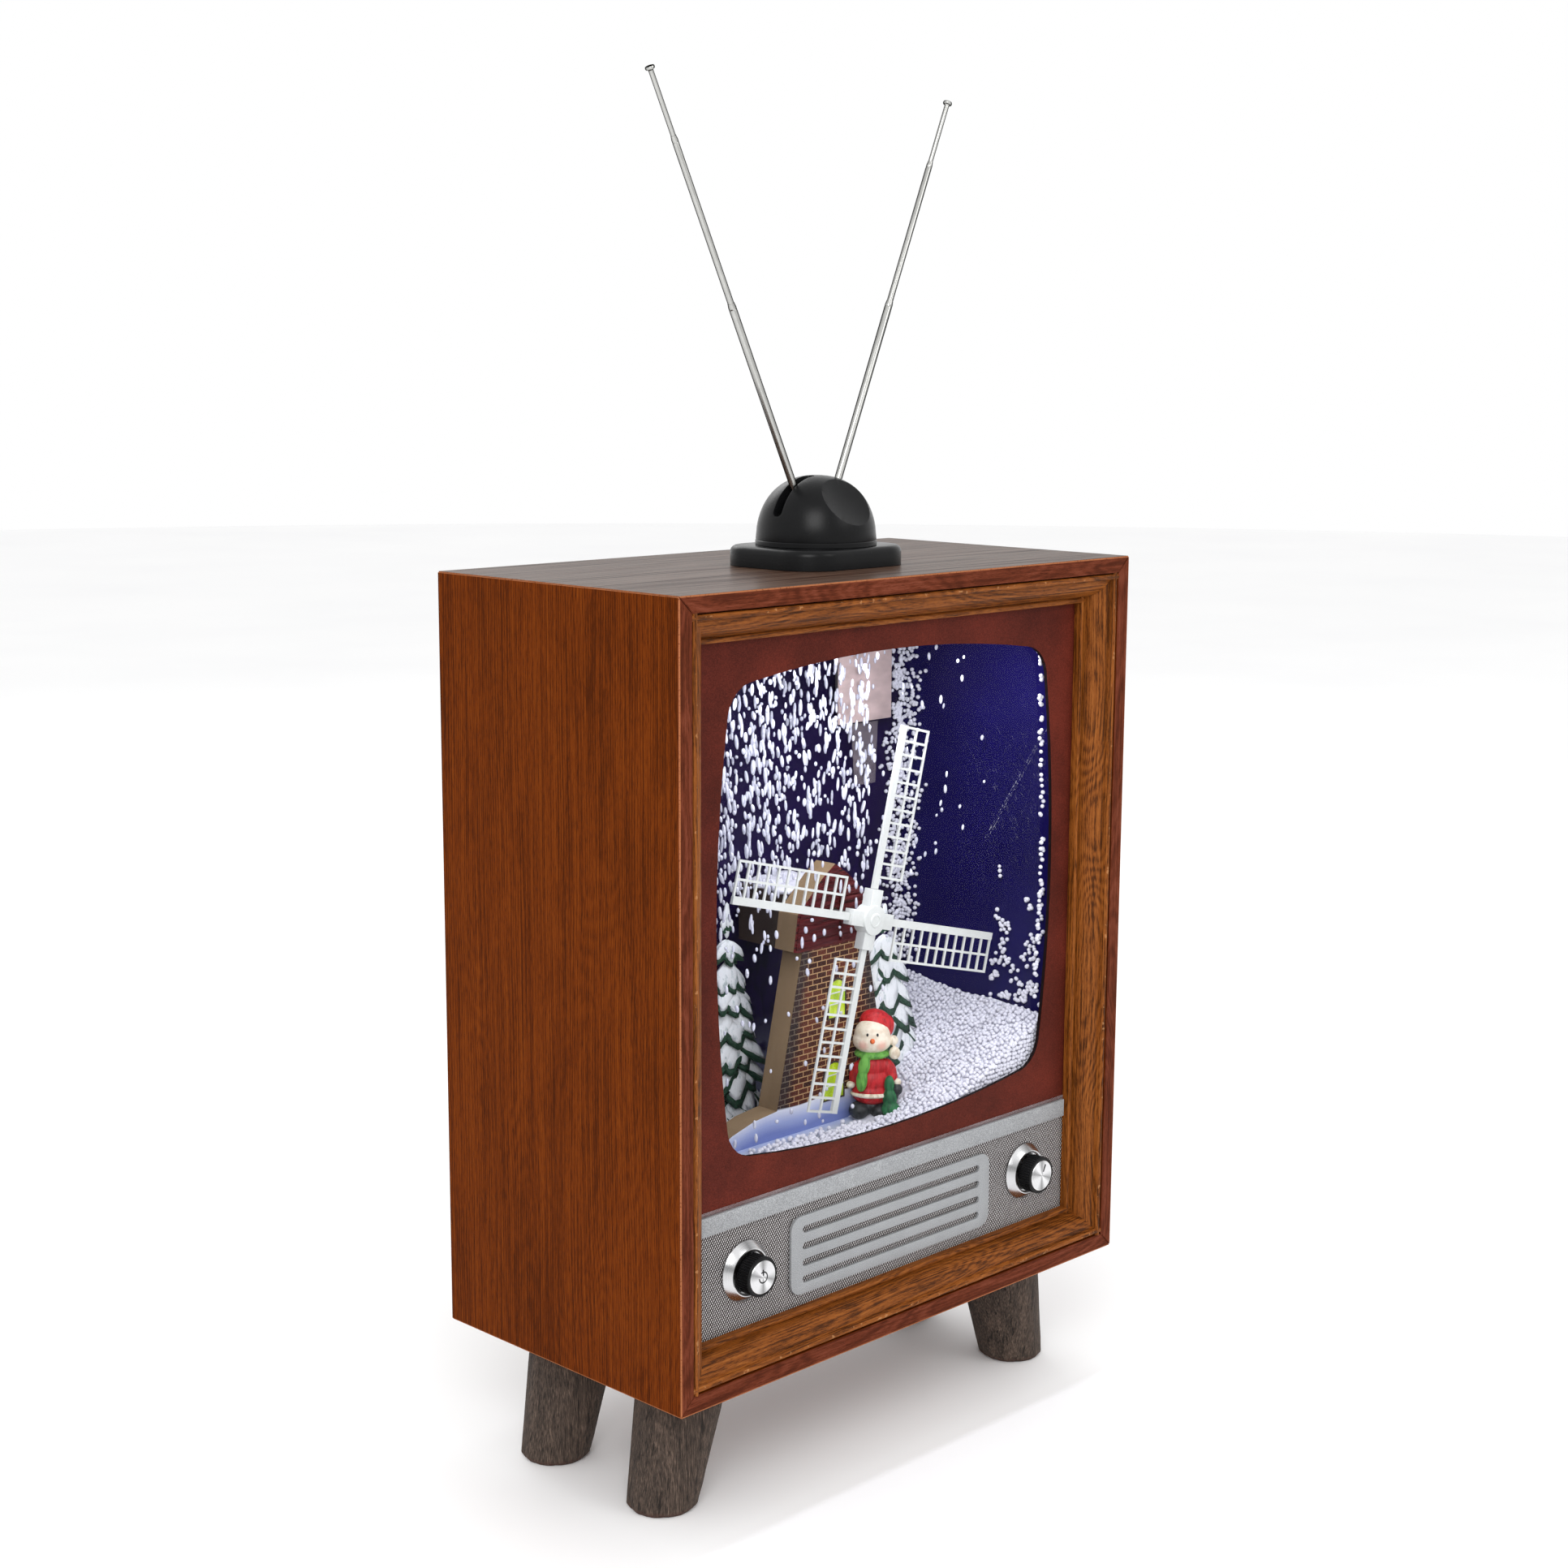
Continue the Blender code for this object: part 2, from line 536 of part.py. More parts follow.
def build_scene(looks):
    floor = on_front(CHAMBER_FLOOR)
    shaft_hole = circle(0.0032, (ROTOR_X, on_front(ROTOR_CENTRE)), 16)
    back = TOWER_FRONT + TOWER_THICKNESS
    plate("windmill_tower", tower_outline(), TOWER_FRONT, back, looks["brick"],
          holes=[shaft_hole])
    motor_low = (ROTOR_X - 0.026, back + GAP, on_front(0.238))
    motor = box("windmill_motor", motor_low, (ROTOR_X + 0.026, 0.046, on_front(0.277)),
                looks["brown"])
    bore = turned("motor_bore", [(0, -0.01), (0.0024, -0.01), (0.0024, 0.016), (0, 0.016)], None, 16)
    boolean(motor, place(bore, (ROTOR_X, back, on_front(ROTOR_CENTRE)), (0, 1, 0)))

    heap = [(0.100, GAP), (0.170, GAP), (0.170, 0.066), (0.158, 0.063), (0.140, 0.050),
            (0.120, 0.036), (0.100, 0.022)]
    plate("snow_heap", [(x, floor + z) for x, z in heap], -0.080, -0.003, looks["snow"])
    fir = [(0.080, GAP), (0.086, 0.020), (0.064, 0.024), (0.082, 0.062), (0.070, 0.064),
           (0.084, 0.100), (0.076, 0.102), (0.090, 0.150), (0.104, 0.102), (0.098, 0.100),
           (0.116, 0.064), (0.106, 0.062), (0.126, 0.024), (0.094, 0.020), (0.094, GAP)]
    plate("fir_right", [(x, floor + z) for x, z in fir], 0.001, 0.005, looks["green"])

    figure = [(0, 0), (0.0125, 0.0), (0.0150, 0.008), (0.0120, 0.020), (0.0150, 0.032),
              (0.0140, 0.044), (0.0080, 0.047), (0.0118, 0.053), (0.0125, 0.061),
              (0.0105, 0.069), (0.0060, 0.076), (0, 0.079)]
    snowman = place(turned("snowman", figure, looks["red"], 16), (0.046, -0.0325, floor + 0.0063))
    snowman.scale = (1.3, 0.72, 1.0)


def lattice_windows():
    """The open cells of one sail, as small rectangles in its own (across, along) frame."""
    inner, outer = 0.0025, SAIL_WIDTH
    column = (outer - inner - 2 * SAIL_BAR) / 2
    row = (SAIL_TIP - SAIL_ROOT - (SAIL_CELLS + 1) * SAIL_BAR) / SAIL_CELLS
    windows = []
    for across in range(2):
        left = inner + across * (column + SAIL_BAR)
        for along in range(SAIL_CELLS):
            low = SAIL_ROOT + SAIL_BAR + along * (row + SAIL_BAR)
            windows.append(rectangle((left, low), (left + column, low + row)))
    return windows


def build_rotor(looks):
    """Hub, four sails and the drive shaft, all turning about the rotor's axis."""
    centre = (ROTOR_X, ROTOR_Y, on_front(ROTOR_CENTRE))
    axis = axis_empty("rotor_axis", centre, ROTOR_PHASE)
    arm, reach, corner = 0.0053, 0.0205, 0.0075
    cross = []
    for quarter in range(4):
        turn = quarter * math.pi / 2
        for u, v in ((-arm, reach), (arm, reach), (arm, corner), (corner, arm)):
            cross.append((u * math.cos(turn) + v * math.sin(turn),
                          v * math.cos(turn) - u * math.sin(turn)))
    hub = plate("rotor_hub", cross, -0.0040, 0.0040, looks["white"])
    hub.parent = axis
    boss = turned("hub_boss", [(0, -0.0060), (0.0102, -0.0060), (0.0102, 0.0052), (0.0, 0.0052)],
                  None, 28)
    boolean(hub, place(boss, centre, (0, 1, 0)), "UNION")
    bore = turned("hub_bore", [(0, -0.0010), (0.0023, -0.0010), (0.0023, 0.0100), (0, 0.0100)],
                  None, 16)
    boolean(hub, place(bore, centre, (0, 1, 0)))
    shaft_end = TOWER_FRONT + TOWER_THICKNESS + 0.014 - ROTOR_Y
    shaft = turned("rotor_shaft", [(0, -0.0007), (0.0020, -0.0007), (0.0020, shaft_end),
                                   (0, shaft_end)], looks["steel"], 16)
    place(shaft, centre, (0, 1, 0), axis)
    frame = rectangle((0.0, SAIL_ROOT), (SAIL_WIDTH, SAIL_TIP))
    for index in range(4):
        name = f"sail_{index + 1}"
        spar = plate(name, rectangle((-0.0026, reach + GAP), (0.0026, SAIL_TIP)),
                     -0.0020, 0.0020, looks["white"])
        lattice = plate(f"{name}_lattice", frame, -0.0010, 0.0012, None, holes=lattice_windows())
        boolean(spar, lattice, "UNION")
        quarter_turn = Matrix.Rotation(index * math.pi / 2, 4, "Y")
        for item in (spar, lattice):
            item.parent = axis
            item.matrix_local = quarter_turn


# ---------------------------------------------------------------- blower, sound and back
def build_blower(looks):
    back = CHAMBER_BACK + CHAMBER_WALL + GAP
    centre = (FAN_X, back, on_front(FAN_CENTRE))
    radius, wall, depth = FAN_RADIUS, 0.0018, 0.030
    profile = [(0.018, 0.0), (radius, 0.0), (radius, depth), (0.0040, depth),
               (0.0040, depth - wall), (radius - wall, depth - wall), (radius - wall, wall),
               (0.018, wall)]
    housing = place(turned("fan_housing", profile, looks["black"], 24, ring=True), centre, (0, 1, 0))
    throat_low = on_front(FAN_CENTRE) + 0.030
    throat = box("fan_throat", (FAN_X - 0.013, back + 0.004, throat_low),
                 (FAN_X + 0.013, back + 0.026, throat_low + 0.030), None)
    boolean(housing, throat)

    impeller = turned("fan_impeller", [(0, 0.0045), (0.006, 0.0045), (0.006, 0.0220),
                                       (0.035, 0.0220), (0.035, 0.0236), (0.006, 0.0250),
                                       (0.0020, 0.0260), (0.0020, 0.0400), (0, 0.0400)],
                      looks["grey"], 20)
    axis = axis_empty("fan_axis", centre)
    place(impeller, centre, (0, 1, 0), axis)
    for blade in range(8):
        turn = Matrix.Rotation(blade * math.tau / 8, 4, "Y")
        vane = box(f"vane_{blade}", (0.0045, 0.0060, -0.0007), (0.0335, 0.0226, 0.0007), None)
        vane.parent = axis
        vane.matrix_local = turn
        boolean(impeller, vane, "UNION")
    motor = [(0.0023, depth + GAP), (0.0150, depth + GAP), (0.0150, depth + 0.0130),
             (0.0, depth + 0.0130), (0.0, depth + 0.0110), (0.0023, depth + 0.0110)]
    place(turned("fan_motor", motor, looks["steel"], 16, ring=True), centre, (0, 1, 0))

    low, high = on_front(FAN_CENTRE) + radius + GAP, on_front(0.430)
    duct = box("snow_duct", (FAN_X - 0.026, back, low), (FAN_X + 0.026, back + 0.030, high),
               looks["duct"])
    passage = box("duct_passage", (FAN_X - 0.024, back + 0.002, low - 0.01),
                  (FAN_X + 0.024, back + 0.028, high - 0.002), None)
    mouth = box("duct_mouth", (FAN_X - 0.021, back - 0.01, on_front(0.385)),
                (FAN_X + 0.021, back + 0.01, on_front(0.423)), None)
    boolean(boolean(duct, passage), mouth)


def build_sound(looks):
    mesh_back = FASCIA_Y + MESH_THICKNESS + GAP
    centre = (0, mesh_back, on_front(0.058))
    frame = [(0.0365, 0.0), (0.0425, 0.0), (0.0425, 0.0015), (0.0385, 0.0025), (0.0240, 0.0180),
             (0.0240, 0.0300), (0.0, 0.0300), (0.0, 0.0180), (0.0150, 0.0180), (0.0365, 0.0040)]
    place(turned("speaker_frame", frame, looks["steel"], 24, ring=True), centre, (0, 1, 0))
    cone = [(0.0, 0.0120), (0.0090, 0.0090), (0.0120, 0.0120), (0.0350, 0.0010), (0.0362, 0.0010),
            (0.0362, 0.0022), (0.0350, 0.0030), (0.0140, 0.0150), (0.0, 0.0150)]
    place(turned("speaker_cone", cone, looks["paper"], 24), centre, (0, 1, 0))

    base = on_front(BOARD) + GAP
    board = box("control_board", (-0.150, -0.030, base + 0.006), (-0.060, 0.040, base + 0.0078),
                looks["green"])
    blocks = {"transformer": (-0.140, 0.000, 0.026, 0.028, 0.020), "chip": (-0.095, -0.005, 0.014,
              0.010, 0.004), "terminal": (-0.080, 0.022, 0.012, 0.010, 0.010)}
    for name, (x, y, width, length, height) in blocks.items():
        block = box(name, (x, y, base + 0.007), (x + width, y + length, base + 0.007 + height), None)
        boolean(board, block, "UNION")
    for index, (x, y) in enumerate(((-0.145, -0.025), (-0.065, -0.025), (-0.145, 0.035),
                                    (-0.065, 0.035))):
        post = turned(f"standoff_{index}", [(0, 0), (0.0025, 0), (0.0025, 0.007), (0, 0.007)],
                      None, 12)
        boolean(board, place(post, (x, y, base)), "UNION")


def build_back(looks):
    half = INNER_HALF_WIDTH - GAP
    low, high = on_front(BOARD) + GAP, TOP - BOARD - GAP
    outer = -FRONT - 0.0022
    jack = (-0.150, on_front(0.045))
    vents = [circle(0.0068, jack, 20)]
    for column in (-1, 1):
        for row in range(6):
            middle = (column * 0.070, on_front(0.400) - row * 0.012)
            vents.append(rounded_rectangle(0.080, 0.005, 0.002, middle, 1))
    plate("back_panel", rectangle((-half, low), (half, high)), outer - 0.003, outer,
          looks["hardboard"], holes=vents)
    socket = [(0.0034, 0.0016), (0.0085, 0.0016), (0.0090, 0.0011), (0.0090, GAP), (0.0063, GAP),
              (0.0063, -0.0130), (0.0, -0.0130), (0.0, -0.0110), (0.0034, -0.0110)]
    inlet = turned("dc_inlet", socket, looks["black"], 16, ring=True)
    place(inlet, (jack[0], outer, jack[1]), (0, 1, 0))


def build_all():
    clear_scene()
    looks = {
        "veneer": material("walnut_veneer", (0.23, 0.085, 0.055), 0.38),
        "leg": material("weathered_wood", (0.075, 0.058, 0.045), 0.72),
        "oak": material("oak_moulding", (0.42, 0.17, 0.055), 0.30),
        "maroon": material("maroon_panel", (0.115, 0.023, 0.018), 0.45),
        "clear": material("clear_acrylic", (0.92, 0.95, 1.0), 0.03, 0.0, 0.2),
        "silver": material("silver_paint", (0.48, 0.50, 0.51), 0.42, 0.7),
        "mesh": material("speaker_cloth", (0.25, 0.25, 0.26), 0.6, 0.4),
        "chrome": material("chrome_plate", (0.86, 0.86, 0.87), 0.08, 1.0),
        "aluminium": material("spun_aluminium", (0.75, 0.75, 0.76), 0.25, 1.0),
        "steel": material("plain_steel", (0.55, 0.55, 0.56), 0.35, 1.0),
        "brass": material("turned_brass", (0.72, 0.53, 0.22), 0.3, 1.0),
        "black": material("black_plastic", (0.018, 0.018, 0.019), 0.35),
        "grey": material("grey_plastic", (0.35, 0.36, 0.37), 0.5),
        "white": material("white_plastic", (0.86, 0.87, 0.83), 0.4),
        "night": material("night_blue_liner", (0.022, 0.016, 0.13), 0.4),
        "lamp": material("lamp_diffuser", (0.95, 0.95, 1.0), 0.4),
        "snow": material("snow_white", (0.90, 0.90, 0.94), 0.6),
        "brick": material("brick_print", (0.20, 0.07, 0.03), 0.55),
        "brown": material("brown_card", (0.10, 0.055, 0.035), 0.7),
        "green": material("painted_green", (0.03, 0.11, 0.06), 0.6),
        "red": material("painted_red", (0.60, 0.03, 0.03), 0.4),
        "duct": material("duct_plastic", (0.75, 0.76, 0.80), 0.4),
        "paper": material("cone_paper", (0.06, 0.06, 0.065), 0.8),
        "hardboard": material("hardboard_back", (0.16, 0.10, 0.065), 0.75),
    }
    build_cabinet(looks["veneer"])
    build_legs(looks["leg"])
    build_moulding(looks["oak"])
    build_front(looks)
    build_controls(looks)
    build_antenna_base(looks["black"])
    build_rods(looks)
    build_chamber(looks)
    build_scene(looks)
    build_rotor(looks)
    build_blower(looks)
    build_sound(looks)
    build_back(looks)
    bpy.context.view_layer.update()


build_all()
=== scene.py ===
"""Finishes for a snowing scene display in the shape of a vintage television.

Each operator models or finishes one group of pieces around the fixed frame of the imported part:
the veneered cabinet, its legs and moulding, the front with its knobs, the antenna, and the
windmill scene with its foam snow.
"""

import math
import random

import bpy
import numpy as np
from bpy.props import FloatProperty, FloatVectorProperty, IntProperty, PointerProperty
from mathutils import Matrix, Vector, noise


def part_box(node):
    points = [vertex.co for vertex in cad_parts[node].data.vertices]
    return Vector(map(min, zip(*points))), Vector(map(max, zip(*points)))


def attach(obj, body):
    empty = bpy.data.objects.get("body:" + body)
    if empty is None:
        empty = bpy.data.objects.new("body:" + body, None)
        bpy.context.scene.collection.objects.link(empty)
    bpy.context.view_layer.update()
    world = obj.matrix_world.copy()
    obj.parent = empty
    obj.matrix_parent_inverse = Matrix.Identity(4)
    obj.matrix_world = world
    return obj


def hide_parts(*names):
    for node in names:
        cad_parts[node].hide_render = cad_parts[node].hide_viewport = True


bl_info = {
    "name": "Snowing television display",
    "version": (1, 0, 0),
    "blender": (4, 5, 0),
    "location": "3D View > Sidebar > Display",
    "description": "Models and finishes the pieces of a snowing television display",
    "category": "Object",
}

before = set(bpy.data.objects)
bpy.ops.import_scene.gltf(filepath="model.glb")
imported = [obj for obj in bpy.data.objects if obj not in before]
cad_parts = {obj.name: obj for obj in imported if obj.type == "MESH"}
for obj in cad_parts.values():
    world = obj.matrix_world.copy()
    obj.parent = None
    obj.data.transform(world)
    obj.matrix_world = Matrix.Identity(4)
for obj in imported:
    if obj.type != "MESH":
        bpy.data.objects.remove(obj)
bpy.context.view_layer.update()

# ------------------------------------------------------------------ places taken from the frame
MM = 0.001
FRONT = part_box("cabinet_top")[0].y
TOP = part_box("cabinet_top")[1].z
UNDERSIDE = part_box("cabinet_bottom")[0].z
MIDDLE = (TOP + UNDERSIDE) / 2
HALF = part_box("cabinet_side_right")[1].x
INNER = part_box("cabinet_side_right")[0].x
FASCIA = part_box("fascia_panel")[0].y
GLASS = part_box("screen_window")[1].y
LINER = 0.002
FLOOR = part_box("snow_chamber")[0].z + LINER
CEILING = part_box("snow_chamber")[1].z - LINER
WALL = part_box("snow_chamber")[1].x - LINER
BACK_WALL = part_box("snow_chamber")[1].y - LINER
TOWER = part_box("windmill_tower")
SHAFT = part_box("rotor_shaft")
AXLE = Vector(((SHAFT[0].x + SHAFT[1].x) / 2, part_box("sail_1")[0].y + 2 * MM,
               (SHAFT[0].z + SHAFT[1].z) / 2))


def up(height):
    """World Z of a height in millimetres above the cabinet's underside."""
    return UNDERSIDE + height * MM


def centre(node):
    low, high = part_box(node)
    return (low + high) / 2


# ------------------------------------------------------------------ settings
class CabinetSettings(bpy.types.PropertyGroup):
    """Wood and panels."""

    veneer: FloatVectorProperty(
        name="Veneer", description="Middle tone of the cabinet's veneer", subtype="COLOR",
        size=3, min=0, max=1, default=(0.122, 0.0230, 0.0016))
    edge_band: FloatVectorProperty(
        name="Edge band", description="Band on the boards' front edges", subtype="COLOR",
        size=3, min=0, max=1, default=(0.118, 0.027, 0.012))
    oak: FloatVectorProperty(
        name="Moulding", description="Middle tone of the moulding", subtype="COLOR",
        size=3, min=0, max=1, default=(0.195, 0.055, 0.0085))
    fascia: FloatVectorProperty(
        name="Fascia", description="Oxblood panel around the screen", subtype="COLOR",
        size=3, min=0, max=1, default=(0.080, 0.0128, 0.0072))
    leg: FloatVectorProperty(
        name="Legs", description="Weathered wood of the legs", subtype="COLOR",
        size=3, min=0, max=1, default=(0.048, 0.033, 0.025))
    grain_pitch: FloatProperty(
        name="Grain pitch", description="Distance between streaks of grain", unit="LENGTH",
        default=0.0021, min=0.001, max=0.02)


class TrimSettings(bpy.types.PropertyGroup):
    """Metal, plastic and cloth."""

    silver: FloatVectorProperty(
        name="Silver paint", description="Divider strip and grille plate", subtype="COLOR",
        size=3, min=0, max=1, default=(0.292, 0.300, 0.310))
    black: FloatVectorProperty(
        name="Black plastic", description="Antenna base and knobs", subtype="COLOR",
        size=3, min=0, max=1, default=(0.0042, 0.0043, 0.0047))
    cloth_pitch: FloatProperty(
        name="Cloth pitch", description="Distance between threads of the speaker cloth",
        unit="LENGTH", default=0.0021, min=0.0005, max=0.01)
    knob_ribs: IntProperty(
        name="Knob ribs", description="Ribs around each knob", default=44, min=8, max=90)


class SnowSettings(bpy.types.PropertyGroup):
    """Foam beads and the lit chamber."""

    bead: FloatProperty(
        name="Bead", description="Diameter of a foam bead", unit="LENGTH", default=0.0032,
        min=0.001, max=0.01)
    falling: IntProperty(
        name="Falling beads", description="Beads in the air", default=1330, min=0, max=2000)
    night: FloatVectorProperty(
        name="Night blue", description="Side walls of the chamber", subtype="COLOR",
        size=3, min=0, max=1, default=(0.0065, 0.0040, 0.062))
    lamp_power: FloatProperty(
        name="Lamp", description="Light under the chamber's ceiling", unit="POWER", default=0.55,
        min=0, max=20)


# ------------------------------------------------------------------ shader building
class Value:
    """A shader socket in an expression. Arithmetic on it adds Math nodes."""

    def __init__(self, look, socket):
        self.look = look
        self.socket = socket

    def math(self, operation, first, second=0.0):
        return self.look.node("ShaderNodeMath", {0: first, 1: second}, operation=operation)

    def __add__(self, other):
        return self.math("ADD", self, other)

    def __sub__(self, other):
        return self.math("SUBTRACT", self, other)

    def __rsub__(self, other):
        return self.math("SUBTRACT", other, self)

    def __mul__(self, other):
        return self.math("MULTIPLY", self, other)

    def __truediv__(self, other):
        return self.math("DIVIDE", self, other)

    def __rtruediv__(self, other):
        return self.math("DIVIDE", other, self)

    def __abs__(self):
        return self.math("ABSOLUTE", self)

    __radd__ = __add__
    __rmul__ = __mul__

    def sine(self):
        return self.math("SINE", self)

    def fraction(self):
        return self.math("FRACT", self)

    def whole(self):
        return self.math("FLOOR", self)

    def clip(self):
        return self.look.node("ShaderNodeClamp", {"Value": self})

    def above(self, edge, soft):
        """0 below an edge and 1 above it, over a soft width."""
        return ((self - (edge - soft / 2)) / soft).clip()

    def below(self, edge, soft):
        return 1 - self.above(edge, soft)


class Look:
    """One procedural material."""

    def __init__(self, name):
        self.material = bpy.data.materials.new(name)
        self.material.use_nodes = True
        self.tree = self.material.node_tree
        self.tree.nodes.clear()
        self.place = self.node("ShaderNodeTexCoord", out="Object")

    def node(self, kind, sockets=None, out=0, stops=None, **settings):
        """Add a node: its settings first, then a ramp's stops, then its sockets."""
        made = self.tree.nodes.new(kind)
        for key, value in settings.items():
            setattr(made, key, value)
        if stops:
            ramp = made.color_ramp
            while len(ramp.elements) < len(stops):
                ramp.elements.new(0.5)
            for element, (position, colour) in zip(ramp.elements, stops):
                element.position = position
                element.color = (*colour, 1.0)
        for key, value in (sockets or {}).items():
            if isinstance(value, Value):
                self.tree.links.new(value.socket, made.inputs[key])
            elif made.inputs[key].type == "RGBA":
                made.inputs[key].default_value = (*tuple(value)[:3], 1.0)
            else:
                made.inputs[key].default_value = value
        if isinstance(out, tuple):
            return [Value(self, made.outputs[name]) for name in out]
        return Value(self, made.outputs[out])

    def axes(self):
        """X, Y and Z of the place on the object, in metres."""
        return self.node("ShaderNodeSeparateXYZ", {0: self.place}, out=("X", "Y", "Z"))

    def mapped(self, scale, vector=None, turn=(0.0, 0.0, 0.0)):
        return self.node("ShaderNodeMapping", {"Vector": vector or self.place, "Scale": scale,
                                               "Rotation": turn})

    def noise(self, scale, detail=3.0, roughness=0.55, vector=None, out=0):
        """Noise with its own scale along each axis, or one for all, per metre."""
        sizes = scale if isinstance(scale, tuple) else (scale,) * 3
        return self.node("ShaderNodeTexNoise", {"Vector": self.mapped(sizes, vector), "Scale": 1.0,
                                                "Detail": detail, "Roughness": roughness}, out=out)

    def ramp(self, value, *stops):
        return self.node("ShaderNodeValToRGB", {0: value}, stops=stops)

    def mix(self, factor, first, second):
        """First colour where the factor is 0 and second where it is 1."""
        return self.node("ShaderNodeMix", {0: factor, 6: first, 7: second}, out=2,
                         data_type="RGBA")

    def shader(self, sockets, height=None, depth=0.0002, strength=0.4):
        """A Principled shader, with a bump if a height is given."""
        sockets = dict(sockets)
        if height is not None:
            sockets["Normal"] = self.node("ShaderNodeBump", {"Height": height, "Distance": depth,
                                                             "Strength": strength})
        return self.node("ShaderNodeBsdfPrincipled", sockets)

    def done(self, shader):
        output = self.tree.nodes.new("ShaderNodeOutputMaterial")
        self.tree.links.new(shader.socket, output.inputs["Surface"])
        return self.material


MADE_LOOKS = {}


def finish(name):
    """The material of that name, made the first time it is asked for."""
    if name not in MADE_LOOKS:
        MADE_LOOKS[name] = FINISHES[name](name)
    return MADE_LOOKS[name]


def shade(colour, factor):
    """A colour made darker or brighter."""
    return tuple(channel * factor for channel in colour)


# ------------------------------------------------------------------ wood
def grain(look, along, pitch, tones, arcs=0.035):
    """Wood running along one axis: (colour, streak height, pore mask)."""
    def scale(across, length):
        return tuple(1 / length if axis == along else 1 / across for axis in "XYZ")

    wander = look.noise(scale(pitch * 14, pitch * 130), 2.0, out="Color")
    bent = look.node("ShaderNodeVectorMath", {0: wander, 1: (pitch * 3,) * 3, 2: look.place},
                     operation="MULTIPLY_ADD")
    streak = look.noise(scale(pitch, pitch * 90), 4.0, 0.55, bent)
    pore = look.noise(scale(pitch * 0.23, pitch * 3.7), 2.0, 0.7, bent)
    broad = look.noise(scale(pitch * 16, pitch * 60), 2.0, 0.5)
    loops = look.noise(scale(pitch * 22, pitch * 110), 1.0, 0.4, bent)
    figure = (loops * 150).sine()
    lines = (look.node("ShaderNodeSeparateXYZ", {0: bent}, out=("Y" if along != "Y" else "X"))
             * (math.tau / pitch) + loops * 60).sine()
    tone = streak * 0.42 + figure * arcs + lines * 0.040 + broad * 0.16 + pore * 0.38
    dark, middle, pale = tones
    colour = look.ramp(tone, (0.39, dark), (0.50, middle), (0.62, pale))
    pores = pore.below(0.38, 0.08)
    return look.mix(pores * 0.45, colour, shade(dark, 0.6)), streak, pores


def wood_tones(middle, depth=0.55):
    return shade(middle, depth), middle, tuple(min(1.0, c * f) for c, f in
                                               zip(middle, (1.38, 1.60, 1.9)))


def board_look(along):
    def make(name):
        """Veneered board: red band on its front edge, a pale line along each corner that is partly
        rubbed wear and partly a painted highlight, and a top greyed with dust and a painted sheen.
        """
        wood = bpy.context.scene.display_cabinet
        look = Look(name)
        x, y, z = look.axes()
        colour, streak, pores = grain(look, along, wood.grain_pitch,
                                      wood_tones(wood.veneer, 0.46), 0.018)
        band, _, _ = grain(look, along, wood.grain_pitch * 0.7, wood_tones(wood.edge_band))
        colour = look.mix(y.below(FRONT + 0.9 * MM, 0.4 * MM), colour, band)
        near_x = abs(x).above(HALF - 0.9 * MM, 0.3 * MM)
        near_y = abs(y).above(-FRONT - 0.6 * MM, 0.3 * MM)
        near_z = abs(z - MIDDLE).above(TOP - MIDDLE - 1.0 * MM, 0.3 * MM)
        corner = (near_x * near_y + near_y * near_z + near_x * near_z).clip()
        # Pale broken line along each corner: partly rubbed wear, partly a painted highlight on the
        # edge.
        worn_and_highlit_corner = corner * look.noise(900, 2.0).above(0.36, 0.2)
        colour = look.mix(worn_and_highlit_corner * 0.66, colour, (0.46, 0.17, 0.07))
        # The top face is greyed, paler along pale streaks: partly dust, partly a painted sheen
        # standing in for its reflection of the room.
        level = z.above(TOP - 0.15 * MM, 0.1 * MM)
        pale = streak.above(0.46, 0.14)
        dust_and_sheen = look.mix(pale, (0.006, 0.005, 0.004), (0.085, 0.068, 0.052))
        colour = look.mix(level * 0.72, colour, dust_and_sheen)
        return look.done(look.shader({
            "Base Color": colour, "Roughness": 0.42 + streak * 0.16, "Specular IOR Level": 0.02,
            "Coat Weight": level * (0.22 + pale * 0.20), "Coat Roughness": 0.26},
            streak * 0.5 - pores * 0.5, 0.00012, 0.5))
    return make


def oak_look(along):
    def make(name):
        """Moulding in golden wood with dark pore dashes and a clear lacquer."""
        wood = bpy.context.scene.display_cabinet
        look = Look(name)
        colour, streak, pores = grain(look, along, wood.grain_pitch * 0.7,
                                      wood_tones(wood.oak, 0.26))
        x, y, z = look.axes()
        worn = y.below(FRONT + 0.8 * MM, 0.4 * MM) * look.noise(260, 3.0).above(0.64, 0.05)
        colour = look.mix(worn * 0.5, colour, (0.48, 0.24, 0.10))
        # Faces deep in the gap between the board and the outer bead are near black: painted shade.
        painted_gap_shade = y.above(FRONT + 4.2 * MM, 0.6 * MM)
        outer = abs(z - MIDDLE).above(TOP - MIDDLE - 11.9 * MM, 0.3 * MM)
        outer = (outer + abs(x).above(INNER - 0.9 * MM, 0.3 * MM)).clip()
        colour = look.mix(painted_gap_shade * outer, colour, (0.006, 0.003, 0.002))
        return look.done(look.shader({
            "Base Color": colour, "Roughness": 0.32 + streak * 0.14, "Specular IOR Level": 0.09},
            streak * 0.4 - pores * 0.6, 0.00012, 0.5))
    return make


